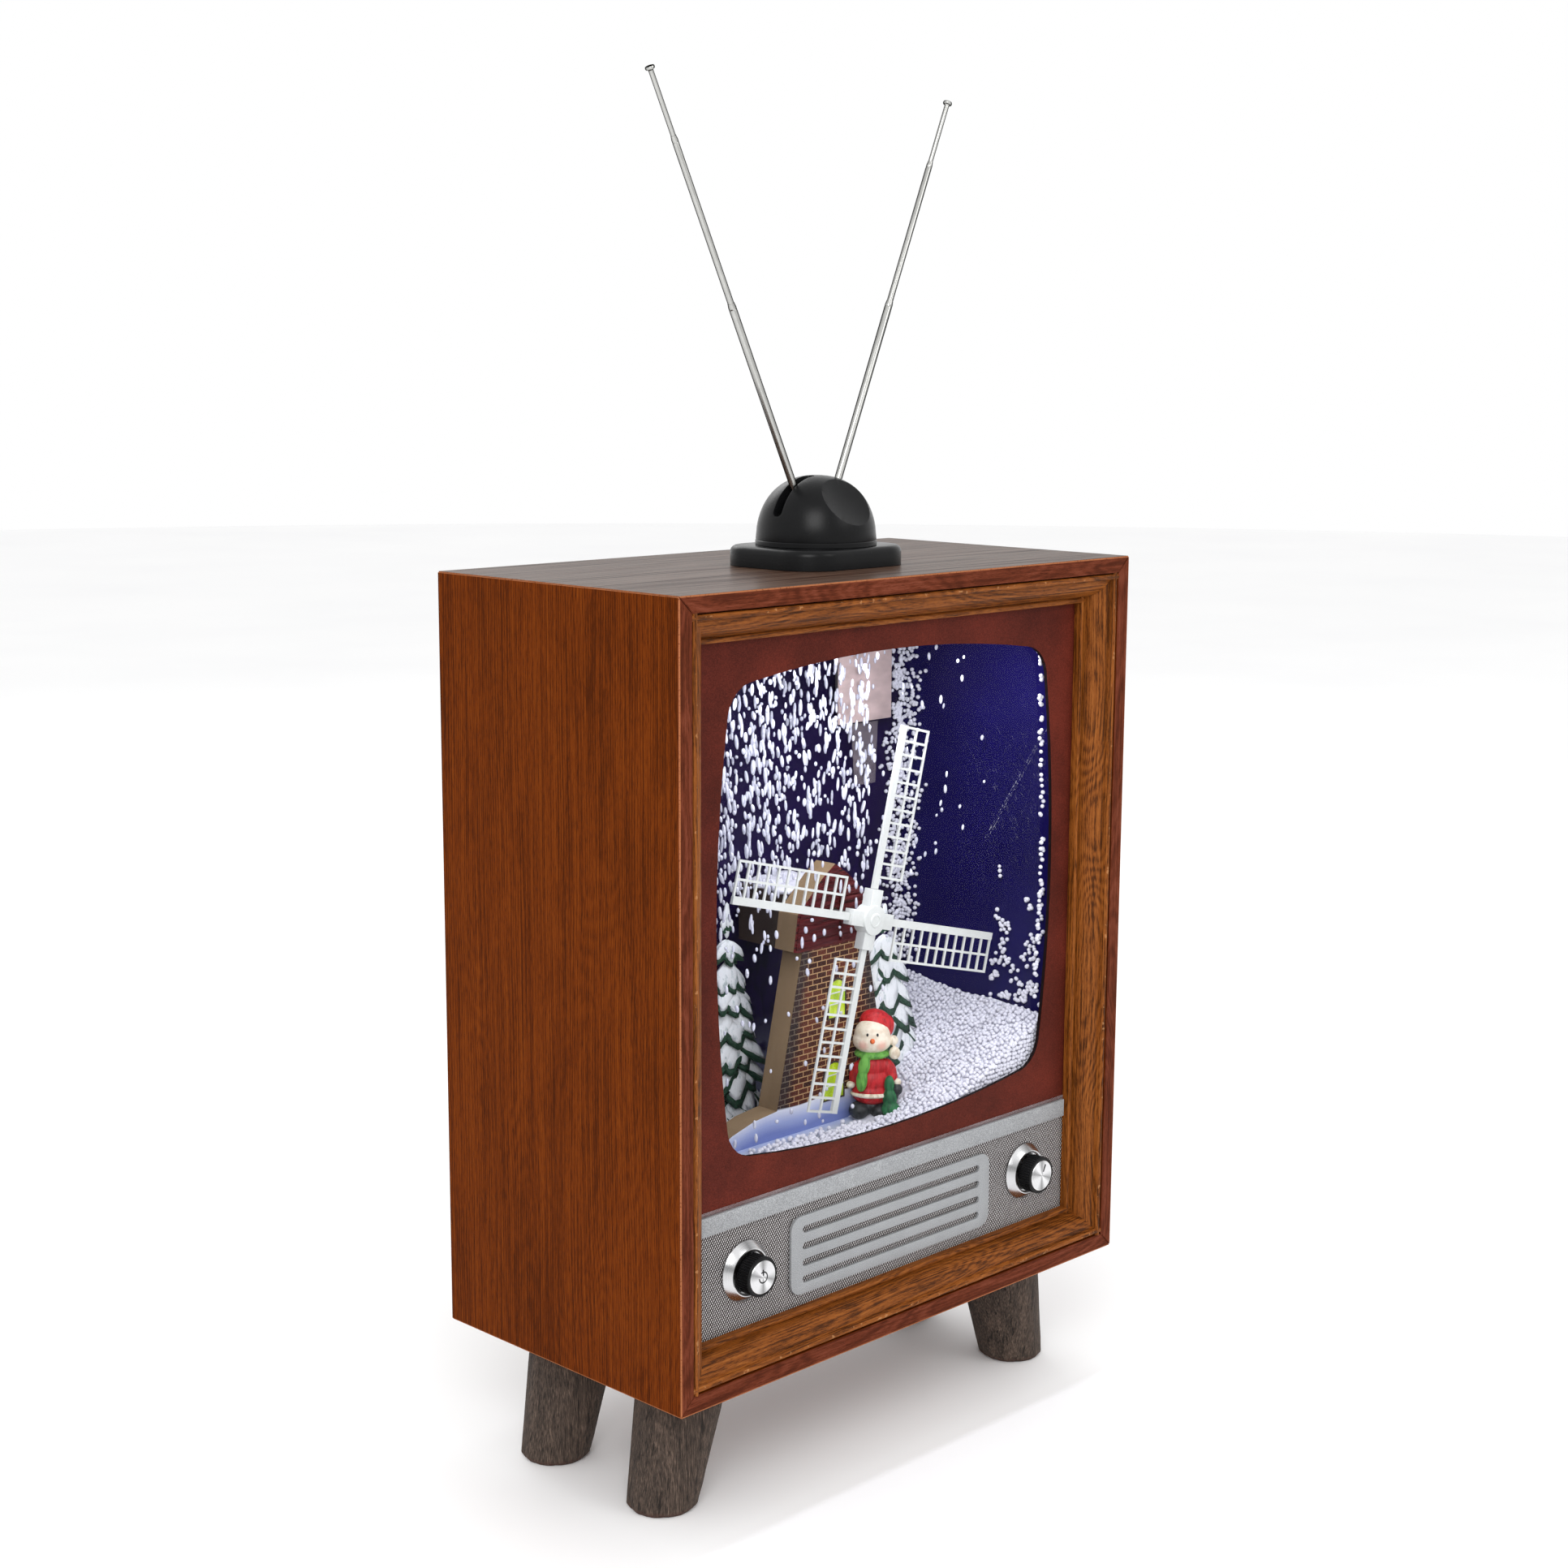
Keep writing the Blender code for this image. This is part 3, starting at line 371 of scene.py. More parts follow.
def leg_look(name):
    """Weathered grey-brown wood with fine upright streaks and a worn foot."""
    look = Look(name)
    base = bpy.context.scene.display_cabinet.leg
    _, _, z = look.axes()
    streak = look.noise((1500, 1500, 130), 4.0, 0.7)
    broad = look.noise((170, 170, 16), 3.0)
    colour = look.ramp(streak * 0.75 + broad * 0.25, (0.36, shade(base, 0.25)), (0.48, base),
                       (0.58, shade(base, 2.1)), (0.68, shade(base, 4.2)))
    cracks = look.noise((420, 420, 22), 3.0, 0.6).below(0.37, 0.03)
    colour = look.mix(cracks * 0.75, colour, (0.006, 0.004, 0.003))
    foot = z.below(3.0 * MM, 2.5 * MM) * look.noise(380, 3.0).above(0.42, 0.1)
    colour = look.mix(foot * 0.7, colour, (0.075, 0.030, 0.020))
    return look.done(look.shader({
        "Base Color": colour, "Roughness": 0.66 + broad * 0.14, "Specular IOR Level": 0.25},
        streak - cracks * 0.8, 0.0009, 0.8))


# ------------------------------------------------------------------ front
def fascia_look(name):
    """Leathery oxblood panel, fine-speckled, with a dark edge around the screen."""
    look = Look(name)
    base = bpy.context.scene.display_cabinet.fascia
    _, y, _ = look.axes()
    cloud = look.noise(26, 4.0, 0.6)
    speckle = look.noise(1700, 2.0, 0.7)
    colour = look.ramp(cloud * 0.40 + speckle * 0.60, (0.36, shade(base, 0.55)), (0.5, base),
                       (0.64, shade(base, 1.6)))
    colour = look.mix(y.above(FASCIA + 0.4 * MM, 0.3 * MM), colour, (0.008, 0.004, 0.004))
    return look.done(look.shader({
        "Base Color": colour, "Roughness": 0.46 + cloud * 0.16, "Specular IOR Level": 0.07},
        speckle, 0.0001, 0.35))


def silver_look(name):
    """Sprayed silver paint with a fine sparkle."""
    look = Look(name)
    base = bpy.context.scene.display_trim.silver
    flake = look.noise(2300, 2.0, 0.8)
    cloud = look.noise(60, 3.0)
    colour = look.ramp(flake * 0.93 + cloud * 0.07, (0.32, shade(base, 0.48)), (0.5, base),
                       (0.68, shade(base, 1.75)))
    return look.done(look.shader({
        "Base Color": colour, "Metallic": 0.2, "Roughness": 0.42 + flake * 0.2,
        "Specular IOR Level": 0.3}, flake, 0.00008, 0.3))


def cloth_look(name):
    """Speaker cloth: slanted metallic dashes over a dark ground, rows half a step apart."""
    look = Look(name)
    pitch = bpy.context.scene.display_trim.cloth_pitch
    x, _, z = look.axes()
    up_rows = z / (pitch * 0.72)
    row = up_rows.whole()
    within = up_rows.fraction() - 0.5
    across = (x / pitch + row * 0.5 + look.noise(180, 1.0) * 0.5).fraction() - 0.5
    slanted = abs(across - within * 0.48)
    dash = slanted.below(0.155, 0.10) * abs(within).below(0.38, 0.16)
    thread = abs(slanted - 0.40).below(0.07, 0.10) * abs(within).above(0.12, 0.2)
    vary = look.noise(700, 2.0)
    bright = look.ramp(vary, (0.3, (0.70, 0.67, 0.67)), (0.7, (1.0, 0.97, 0.97)))
    dull = look.mix(thread * 0.6, (0.006, 0.004, 0.004), (0.11, 0.080, 0.075))
    return look.done(look.shader({
        "Base Color": look.mix(dash, dull, bright), "Metallic": dash * 0.25,
        "Roughness": 0.55 - dash * 0.2, "Specular IOR Level": 0.08}, dash, 0.0003, 0.5))


def window_look(name):
    """Clear sheet: see-through, with a weak gloss, dust specks and fine scratches."""
    look = Look(name)
    x, _, z = look.axes()
    dust = look.noise(1500, 2.0, 0.7).above(0.73, 0.03)
    fine = look.noise((2600, 2600, 90), 1.0, vector=look.mapped((1, 1, 1), turn=(0, 0.62, 0)))
    where = x.above(0.085, 0.05) * z.below(up(404), 0.02) * z.above(up(300), 0.05)
    scratch = fine.above(0.70, 0.03) * where * look.noise(60, 2.0).above(0.5, 0.1)
    long_one = abs(z - up(315) - (x - 0.096) * 1.1 + look.noise(30, 2.0) * 3 * MM)
    scratch = (scratch * 0.6 + long_one.below(0.7 * MM, 1.0 * MM) * x.above(0.094, 0.01)
               * look.noise(620, 3.0, 0.8).above(0.56, 0.06) * 0.9).clip()
    marks = look.shader({"Base Color": (0.85, 0.86, 0.92), "Roughness": 0.4})
    gloss = look.node("ShaderNodeBsdfGlossy", {"Color": (1, 1, 1), "Roughness": 0.03})
    clear = look.node("ShaderNodeBsdfTransparent", {"Color": (0.97, 0.975, 0.99)})
    sheen = look.node("ShaderNodeFresnel", {"IOR": 1.22}) * 0.05
    body = look.node("ShaderNodeMixShader", {0: sheen, 1: clear, 2: gloss})
    return look.done(look.node("ShaderNodeMixShader",
                               {0: dust * 0.12 + scratch * 0.30, 1: body, 2: marks}))


def film_look(colour, cover):
    def make(name):
        """Thin milky film."""
        look = Look(name)
        streak = look.noise((40, 40, 90), 2.0)
        tone = look.ramp(streak, (0.3, shade(colour, 0.8)), (0.7, colour))
        return look.done(look.shader({"Base Color": tone, "Roughness": 0.35,
                                      "Specular IOR Level": 0.2,
                                      "Alpha": cover - 0.2 + streak * 0.4}))
    return make


# ------------------------------------------------------------------ metals and plastics
def turned_metal(colour, roughness, node, depth):
    """Metal turned on a lathe: rings about a node's front-to-back axis, and a painted highlight:
    the spun hourglass sheen painted into its colour by angle.
    """
    def make(name):
        look = Look(name)
        middle = centre(node)
        x, _, z = look.axes()
        dx, dz = x - middle.x, z - middle.z
        square = dx * dx + dz * dz
        radius = look.node("ShaderNodeMath", {0: square}, operation="SQRT")
        # Painted highlight: colour brighter and darker in an hourglass by angle about the axis, as
        # spun metal catches light.
        painted_highlight_fan = abs(dx * 0.82 + dz * 0.57) / (radius + 0.2 * MM)
        ring = look.node("ShaderNodeTexNoise", {"W": radius * 3000, "Scale": 1.0, "Detail": 2.0},
                         noise_dimensions="1D")
        smudge = look.noise(160, 3.0)
        sheen = look.ramp(painted_highlight_fan + ring * 0.16, (0.25, colour), (0.62, shade(colour, 0.30)),
                          (0.98, shade(colour, 0.92)))
        tone = look.mix(smudge * 0.25, sheen, shade(colour, 0.7))
        return look.done(look.shader({
            "Base Color": tone, "Metallic": 1.0, "Roughness": roughness + smudge * 0.10},
            ring, depth, 0.9))
    return make


def metal(colour, roughness, rim=0.8):
    """Plain metal, with painted shade: its colour darkens where it turns away from the camera. The
    rim is how bright it stays there.
    """
    def make(name):
        look = Look(name)
        smudge = look.noise(140, 4.0)
        fleck = look.noise(1600, 2.0)
        tone = look.ramp(smudge * 0.6 + fleck * 0.4, (0.3, shade(colour, 0.80)), (0.7, colour))
        # Painted shade: the colour darkens towards the outline, where the surface turns away from
        # the camera.
        turned = look.node("ShaderNodeLayerWeight", {"Blend": 0.5}, out="Facing")
        tone = look.mix(turned.above(0.36, 0.36), tone, shade(colour, rim))
        return look.done(look.shader({
            "Base Color": tone, "Metallic": 1.0, "Roughness": roughness + smudge * 0.10,
            "Specular Tint": (rim, rim, rim)}, fleck, 0.000006, 0.2))
    return make


def plastic(colour, roughness, grain_size=1400, relief=0.00006, spread=0.18):
    """Moulded plastic with a faint eggshell texture."""
    def make(name):
        look = Look(name)
        cloud = look.noise(70, 3.0)
        skin = look.noise(grain_size, 2.0)
        tone = look.ramp(cloud * 0.5 + skin * 0.5, (0.32, shade(colour, 1 - spread)),
                         (0.68, shade(colour, 1 + spread)))
        return look.done(look.shader({
            "Base Color": tone, "Roughness": roughness - 0.06 + cloud * 0.14}, skin, relief, 0.6))
    return make


def black_plastic(roughness, relief=0.00007):
    def make(name):
        base = bpy.context.scene.display_trim.black
        look = Look(name)
        cloud = look.noise(55, 4.0, 0.6)
        skin = look.noise(1900, 2.0)
        dust = look.noise(700, 3.0, 0.7).above(0.70, 0.05)
        tone = look.mix(dust * 0.05, look.ramp(cloud, (0.3, base), (0.7, shade(base, 1.5))),
                        (0.25, 0.25, 0.25))
        return look.done(look.shader({
            "Base Color": tone, "Roughness": roughness - 0.05 + cloud * 0.12,
            "Specular IOR Level": 0.15}, skin, relief, 0.6))
    return make


def toned(noises, stops, roughness, shine, depth, strength):
    """Maker of a look whose tone follows noise of (scale, detail, roughness).

    A second noise takes two fifths of the tone. The first is also the relief.
    """
    def make(name):
        look = Look(name)
        layers = [look.noise(*sizes) for sizes in noises]
        blend = layers[0] if len(layers) == 1 else layers[0] * 0.6 + layers[1] * 0.4
        return look.done(look.shader({
            "Base Color": look.ramp(blend, *stops), "Roughness": roughness,
            "Specular IOR Level": shine}, layers[0], depth, strength))
    return make


def painted(colour, roughness=0.38, second=None):
    """Hand-painted resin: brushed tone changes and a soft gloss."""
    def make(name):
        look = Look(name)
        brush = look.noise((420, 420, 130), 3.0, 0.6)
        other = second or shade(colour, 0.55)
        tone = look.ramp(brush, (0.34, other), (0.56, colour))
        return look.done(look.shader({
            "Base Color": tone, "Roughness": roughness + brush * 0.12, "Specular IOR Level": 0.3},
            brush, 0.0002, 0.4))
    return make


def face_look(name):
    """Cream face with rosy cheeks, turned the way the figure looks."""
    look = Look(name)
    brush = look.noise(260, 3.0)
    tone = look.ramp(brush, (0.35, (0.74, 0.62, 0.47)), (0.6, (0.86, 0.77, 0.62)))
    for side in (-1, 1):
        spot = figure_point(side * 6.2, -9.6, 53.8)
        offset = look.node("ShaderNodeVectorMath", {0: look.place, 1: spot}, out="Value",
                           operation="DISTANCE")
        tone = look.mix(offset.below(3.0 * MM, 3.4 * MM) * 0.55, tone, (0.86, 0.30, 0.22))
    return look.done(look.shader({"Base Color": tone, "Roughness": 0.42,
                                  "Specular IOR Level": 0.3}, brush, 0.0002, 0.3))


# ------------------------------------------------------------------ chamber and snow
def night_look(name):
    """Liner: plain deep blue at the sides, a printed winter night on the back wall."""
    look = Look(name)
    night = bpy.context.scene.display_snow.night
    x, y, z = look.axes()
    grainy = look.noise(1800, 2.0)
    haze = look.noise(14, 4.0, 0.6)
    side = look.ramp(haze * 0.6 + grainy * 0.4, (0.3, shade(night, 0.72)),
                     (0.7, shade(night, 1.25)))
    sky = look.ramp(haze * 0.5 + z.above(up(290), 0.30) * 0.5, (0.15, (0.030, 0.018, 0.085)),
                    (0.45, (0.014, 0.006, 0.050)), (0.85, (0.005, 0.003, 0.014)))
    twig = abs(look.noise((70, 70, 30), 5.0, 0.75) - 0.5).below(0.030, 0.02)
    trunk = look.noise((46, 46, 3), 2.0).below(0.36, 0.03)
    woods = (twig * z.below(up(300), 0.06) * 0.5 + trunk * z.below(up(260), 0.05)).clip()
    sky = look.mix(woods * 0.85, sky, (0.008, 0.008, 0.012))
    bank = z.below(up(150), 0.05) * look.noise((40, 40, 80), 3.0).above(0.42, 0.15)
    sky = look.mix(bank * 0.7, sky, (0.32, 0.34, 0.46))
    back = y.above(BACK_WALL - 0.5 * MM, 0.5 * MM) * abs(x).below(WALL - 0.2 * MM, 0.2 * MM)
    return look.done(look.shader({
        "Base Color": look.mix(back, side, sky), "Roughness": 0.30 + haze * 0.12,
        "Specular IOR Level": 0.12}))


def lamp_look(name):
    """Milky diffuser over a row of lamps."""
    look = Look(name)
    x, _, _ = look.axes()
    spots = (x * (math.tau / 0.02)).sine() * 0.5 + 0.5
    glow = look.ramp(spots, (0.0, (0.72, 0.76, 1.0)), (1.0, (1.0, 1.0, 1.0)))
    return look.done(look.shader({"Base Color": (0.8, 0.8, 0.85), "Roughness": 0.4,
                                  "Emission Color": glow, "Emission Strength": 5.0}))


def snow_look(tint=(0.80, 0.79, 0.85)):
    def make(name):
        """White foam with faint tonal changes from bead to bead."""
        look = Look(name)
        tone = look.ramp(look.noise(330, 1.0), (0.30, shade(tint, 0.86)), (0.65, tint))
        skin = look.noise(2600, 2.0)
        return look.done(look.shader({
            "Base Color": tone, "Roughness": 0.55 + skin * 0.15, "Specular IOR Level": 0.4},
            skin, 0.00008, 0.4))
    return make


def streak_look(name):
    """Falling beads, thinner towards their edges, as the eye sees them move."""
    look = Look(name)
    tone = look.ramp(look.noise(330, 1.0), (0.30, (0.62, 0.62, 0.74)), (0.65, (0.86, 0.86, 0.93)))
    turned = look.node("ShaderNodeLayerWeight", {"Blend": 0.5}, out="Facing")
    return look.done(look.shader({"Base Color": tone, "Roughness": 0.6, "Specular IOR Level": 0.2,
                                  "Alpha": 0.88 - turned.above(0.55, 0.8) * 0.85}))


def plate_look(name):
    """Scenic base: pale blue snow print with a white edge."""
    look = Look(name)
    _, y, z = look.axes()
    cloud = look.noise(40, 3.0)
    tone = look.ramp(cloud * 0.5 + y.above(-0.026, 0.012) * 0.5, (0.2, (0.52, 0.54, 0.57)),
                     (0.8, (0.34, 0.40, 0.62)))
    tone = look.mix(z.below(FLOOR + 5.4 * MM, 0.4 * MM), tone, (0.72, 0.72, 0.66))
    return look.done(look.shader({"Base Color": tone, "Roughness": 0.5,
                                  "Specular IOR Level": 0.2}, cloud, 0.0002, 0.2))


def tower_look(name):
    """Cut-out board: brick, roof and snowy ground on its front, raw fibreboard elsewhere."""
    look = Look(name)
    x, y, z = look.axes()
    fibre = look.noise(1500, 3.0)
    smear = look.noise((60, 60, 20), 3.0)
    raw = look.ramp(fibre * 0.5 + smear * 0.5, (0.3, (0.205, 0.135, 0.072)),
                    (0.7, (0.33, 0.225, 0.125)))
    wall = look.node("ShaderNodeCombineXYZ", {"X": x, "Y": z, "Z": 0.0})
    bricks = {"Vector": wall, "Scale": 1.0, "Mortar Size": 0.00036, "Mortar Smooth": 0.1,
              "Brick Width": 0.0088, "Row Height": 0.0039, "Bias": 0.0}
    mask = look.node("ShaderNodeTexBrick", bricks, out="Fac")
    tint = look.node("ShaderNodeTexBrick", {
        **bricks, "Color1": (0.120, 0.026, 0.011), "Color2": (0.038, 0.009, 0.005),
        "Mortar": (0.50, 0.30, 0.14)}, out="Color")
    lean = abs(x - AXLE.x - 1 * MM) + (z - FLOOR) * 0.205
    shadow = lean.above(0.0500, 0.008)
    brick = look.mix(shadow * 0.85, tint, look.mix(mask, (0.020, 0.014, 0.014),
                                                   (0.085, 0.075, 0.070)))
    planks = ((z / 0.0052).fraction() - 0.5) * 2
    red = look.ramp(look.noise((240, 240, 900), 3.0), (0.3, (0.060, 0.008, 0.008)),
                    (0.7, (0.165, 0.018, 0.018)))
    red = look.mix(abs(planks).above(0.80, 0.2), red, (0.012, 0.004, 0.005))
    front = look.mix(z.above(up(241), 0.4 * MM), brick, red)
    wave = (x * 90).sine() * 1.0 * MM
    rise = z - wave - x.above(-0.0705, 0.043) * 8 * MM
    crest = FLOOR + 18 * MM
    ground = rise.below(crest, 0.8 * MM)
    line = (abs(rise - crest)).below(0.7 * MM, 0.5 * MM)
    pale = look.ramp((rise - FLOOR) / 0.020, (0.1, (0.19, 0.24, 0.52)), (0.45, (0.38, 0.44, 0.70)),
                     (0.88, (0.78, 0.80, 0.88)))
    front = look.mix(ground, front, pale)
    front = look.mix(line * 0.6 * x.below(-0.03, 0.02), front, (0.030, 0.022, 0.018))
    face = y.below(TOWER[0].y + 0.3 * MM, 0.3 * MM)
    return look.done(look.shader({
        "Base Color": look.mix(face, raw, front), "Roughness": 0.62 - face * 0.12,
        "Specular IOR Level": 0.2}, fibre + mask * face, 0.00015, 0.3))


def lit_window_look(name):
    """Lit window pane, yellow-green with pale reflections."""
    look = Look(name)
    cloud = look.noise((160, 160, 60), 3.0)
    tone = look.ramp(cloud, (0.35, (0.30, 0.46, 0.01)), (0.60, (0.50, 0.66, 0.02)),
                     (0.75, (0.66, 0.74, 0.22)))
    return look.done(look.shader({"Base Color": tone, "Roughness": 0.25, "Emission Color": tone,
                                  "Emission Strength": 0.12}))


def board_green_look(name):
    """Circuit board: green lacquer, copper tracks, dark parts above the board."""
    look = Look(name)
    x, _, z = look.axes()
    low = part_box("control_board")[0].z
    track = (x * 1600).sine().above(0.75, 0.1) * look.noise(90, 1.0).above(0.52, 0.02)
    lacquer = look.mix(track, (0.012, 0.075, 0.030), (0.10, 0.22, 0.05))
    raised = z.above(low + 8.3 * MM, 0.2 * MM)
    part = look.mix(x.below(-0.110, 0.002), (0.02, 0.02, 0.022), (0.35, 0.27, 0.06))
    return look.done(look.shader({"Base Color": look.mix(raised, lacquer, part),
                                  "Roughness": 0.42}, track, 0.0001, 0.4))


# Dark-red boards, lighter and darker in long streaks
ROOF_BOARDS = toned([((55, 55, 900), 4.0, 0.65)],
                    [(0.32, (0.022, 0.003, 0.003)), (0.52, (0.078, 0.006, 0.008)),
                     (0.70, (0.15, 0.026, 0.026))], 0.45, 0.15, 0.0003, 0.5)
FIR_NEEDLES = toned([((1500, 1500, 300), 3.0, 0.7)],
                    [(0.35, (0.004, 0.018, 0.010)), (0.62, (0.020, 0.085, 0.040))],
                    0.6, 0.5, 0.0006, 0.8)
# Painted snow on the boughs, greyer in streaks
FIR_SNOW = toned([((300, 300, 120), 4.0, 0.6)],
                 [(0.32, (0.42, 0.50, 0.50)), (0.46, (0.86, 0.88, 0.88))],
                 0.6, 0.5, 0.0005, 0.6)
# Pressed hardboard with loose fibres
HARDBOARD = toned([((900, 900, 900), 5.0, 0.75), (30, 3.0)],
                  [(0.3, (0.085, 0.048, 0.026)), (0.55, (0.17, 0.105, 0.062)),
                   (0.75, (0.26, 0.175, 0.11))], 0.72, 0.5, 0.0003, 0.5)
CHROME, SPUN = (0.74, 0.74, 0.75), (0.82, 0.82, 0.83)
# Each finish's name and the maker of its look
FINISHES = {
    "veneer_upright": board_look("Z"), "veneer_level": board_look("X"),
    "oak_upright": oak_look("Z"), "oak_level": oak_look("X"), "weathered_leg": leg_look,
    "fascia_panel_paint": fascia_look, "silver_paint": silver_look, "speaker_cloth": cloth_look,
    "clear_window": window_look, "milky_film": film_look((0.42, 0.35, 0.36), 0.26),
    "bezel_chrome_left": turned_metal(CHROME, 0.16, "bezel_left", 0.000012),
    "bezel_chrome_right": turned_metal(CHROME, 0.16, "bezel_right", 0.000012),
    "spun_cap_left": turned_metal(SPUN, 0.20, "power_knob_cap", 0.00003),
    "spun_cap_right": turned_metal(SPUN, 0.20, "volume_knob_cap", 0.00003),
    "rod_chrome": metal((0.52, 0.52, 0.50), 0.20, 0.05),
    "steel_plain": metal((0.50, 0.50, 0.51), 0.34),
    "brass_turned": metal((0.70, 0.50, 0.20), 0.28), "screw_zinc": metal((0.62, 0.62, 0.60), 0.30),
    "knob_black": black_plastic(0.30), "antenna_black": black_plastic(0.24, 0.00012),
    "mark_dark": painted((0.012, 0.012, 0.013), 0.6),
    "fan_grey": plastic((0.30, 0.31, 0.32), 0.5),
    "sail_white": plastic((0.66, 0.67, 0.63), 0.38, 900, 0.00004, 0.06),
    "night_liner": night_look, "lamp_diffuser": lamp_look, "foam_snow": snow_look(),
    # The drift's snow is greyer than the beads': painted shade in the gaps between them.
    "falling_snow": streak_look, "packed_snow": snow_look((0.72, 0.72, 0.78)),
    "scenic_plate": plate_look,
    "tower_print": tower_look, "roof_boards": ROOF_BOARDS, "lit_window": lit_window_look,
    "motor_box": plastic((0.045, 0.026, 0.018), 0.7, 700, 0.0003, 0.4),
    "fir_needles": FIR_NEEDLES, "fir_snow": FIR_SNOW,
    "coat_red": painted((0.56, 0.018, 0.022), 0.36, (0.30, 0.008, 0.010)),
    "scarf_green": painted((0.16, 0.42, 0.07), 0.5, (0.05, 0.20, 0.03)),
    "fleece_cream": painted((0.86, 0.78, 0.62), 0.6, (0.60, 0.48, 0.34)),
    "boot_black": painted((0.030, 0.034, 0.034), 0.3, (0.012, 0.012, 0.012)),
    "toy_fir_green": painted((0.025, 0.16, 0.055), 0.45, (0.010, 0.060, 0.025)),
    "carrot_orange": painted((0.80, 0.16, 0.04), 0.4), "face_cream": face_look,
    "baffle_pink": film_look((0.86, 0.66, 0.61), 0.76),
    "duct_milky": plastic((0.62, 0.64, 0.68), 0.4), "circuit_board": board_green_look,
    "cone_paper": plastic((0.030, 0.030, 0.032), 0.8, 900, 0.0003, 0.3),
    "hardboard": HARDBOARD,
}


# ------------------------------------------------------------------ modelling helpers
DOUBLES = 1e-6      # metres within which two points are one


def only(item):
    """Leave just this item selected and active, in object mode."""
    if bpy.context.mode != "OBJECT":
        bpy.ops.object.mode_set(mode="OBJECT")
    bpy.ops.object.select_all(action="DESELECT")
    if item is not None:
        item.select_set(True)
        bpy.context.view_layer.objects.active = item
    return item


def settle(item):
    """Apply an item's place, so that its object is at the origin."""
    only(item)
    bpy.ops.object.transform_apply(location=True, rotation=True, scale=True)
    return item


def put(item, place):
    """Move an item to a place and apply it."""
    item.matrix_world = place
    return settle(item)


def sized(width, depth, height):
    """A scaling in metres, or in the item's own units."""
    return Matrix.Diagonal((width, depth, height, 1.0))


def begin(name, add, **size):
    """Add a primitive with nothing else selected."""
    only(None)
    add(**size)
    item = bpy.context.object
    item.name = name
    item.data.name = name
    return settle(item)


def block(name, place, size):
    """A block of a size in millimetres."""
    item = begin(name, bpy.ops.mesh.primitive_cube_add, size=1.0)
    return put(item, place @ sized(*(length * MM for length in size)))


def edit(item):
    """Open an item in edit mode with everything selected."""
    only(item)
    bpy.ops.object.mode_set(mode="EDIT")
    bpy.ops.mesh.select_mode(type="VERT")
    bpy.ops.mesh.select_all(action="SELECT")


def close():
    """Back to object mode."""
    bpy.ops.object.mode_set(mode="OBJECT")


def choose(item, kind, test):
    """Open an item with only those faces, edges or vertices selected that pass a test."""
    edit(item)
    bpy.ops.mesh.select_mode(type=kind)
    bpy.ops.mesh.select_all(action="DESELECT")
    close()
    mesh = item.data
    if kind == "FACE":
        for face in mesh.polygons:
            face.select = bool(test(face.center, face.normal))
    elif kind == "EDGE":
        for edge in mesh.edges:
            first, second = (mesh.vertices[i].co for i in edge.vertices)
            edge.select = bool(test(first, second))
    else:
        for vertex in mesh.vertices:
            vertex.select = bool(test(vertex.co))
    bpy.ops.object.mode_set(mode="EDIT")


def tidy_faces():
    """Merge doubles and turn every face outwards, in edit mode."""
    bpy.ops.mesh.select_all(action="SELECT")
    bpy.ops.mesh.remove_doubles(threshold=DOUBLES)
    bpy.ops.mesh.normals_make_consistent(inside=False)


def soften(item, angle=32):
    """Smooth shading, with creases sharper than an angle kept."""
    only(item)
    bpy.ops.object.shade_smooth_by_angle(angle=math.radians(angle))
    return item


def modify(item, kind, **settings):
    """Add one modifier and apply it."""
    only(item)
    bpy.ops.object.modifier_add(type=kind)
    change = item.modifiers[-1]
    for key, value in settings.items():
        setattr(change, key, value)
    bpy.ops.object.modifier_apply(modifier=change.name)
    return item


def ease(item, width, segments=2, angle=35):
    """Round every edge sharper than an angle."""
    return modify(item, "BEVEL", width=width, segments=segments, limit_method="ANGLE",
                  angle_limit=math.radians(angle))


def cut(item, cutter):
    """Cut one item with another, which is then removed."""
    modify(item, "BOOLEAN", object=cutter, operation="DIFFERENCE", solver="EXACT")
    bpy.data.objects.remove(cutter)
    return item


def trace(name, points):
    """Draw a line by extruding one vertex from point to point, and leave it in edit mode."""
    item = begin(name, bpy.ops.mesh.primitive_plane_add, size=MM, location=points[0])
    edit(item)
    bpy.ops.mesh.merge(type="CENTER")
    for here, there in zip(points, points[1:]):
        step = Vector(there) - Vector(here)
        bpy.ops.mesh.extrude_region_move(TRANSFORM_OT_translate={"value": step})
    bpy.ops.mesh.select_all(action="SELECT")
    return item


def lathe(name, profile, steps=48, place=None, ring=False, sweep=math.tau, angle=32):
    """Spin a profile of (radius, height) in millimetres about Z, then put it in place."""
    points = [(radius * MM, 0.0, height * MM) for radius, height in profile]
    item = trace(name, points + points[:1] if ring else points)
    if ring:
        bpy.ops.mesh.remove_doubles(threshold=DOUBLES)
    bpy.ops.mesh.spin(steps=steps, angle=sweep, center=(0, 0, 0), axis=(0, 0, 1))
    tidy_faces()
    if sweep < math.tau:
        bpy.ops.mesh.select_all(action="DESELECT")
        bpy.ops.mesh.select_non_manifold()
        bpy.ops.mesh.edge_face_add()
        tidy_faces()
    close()
    if place is not None:
        put(item, place)
    return soften(item, angle)


def prism(name, points, run):
    """A closed line, filled and extruded along a run. It is left in edit mode."""
    item = trace(name, points + points[:1])
    bpy.ops.mesh.remove_doubles(threshold=DOUBLES)
    bpy.ops.mesh.edge_face_add()
    bpy.ops.mesh.extrude_region_move(TRANSFORM_OT_translate={"value": run})
    tidy_faces()
    return item


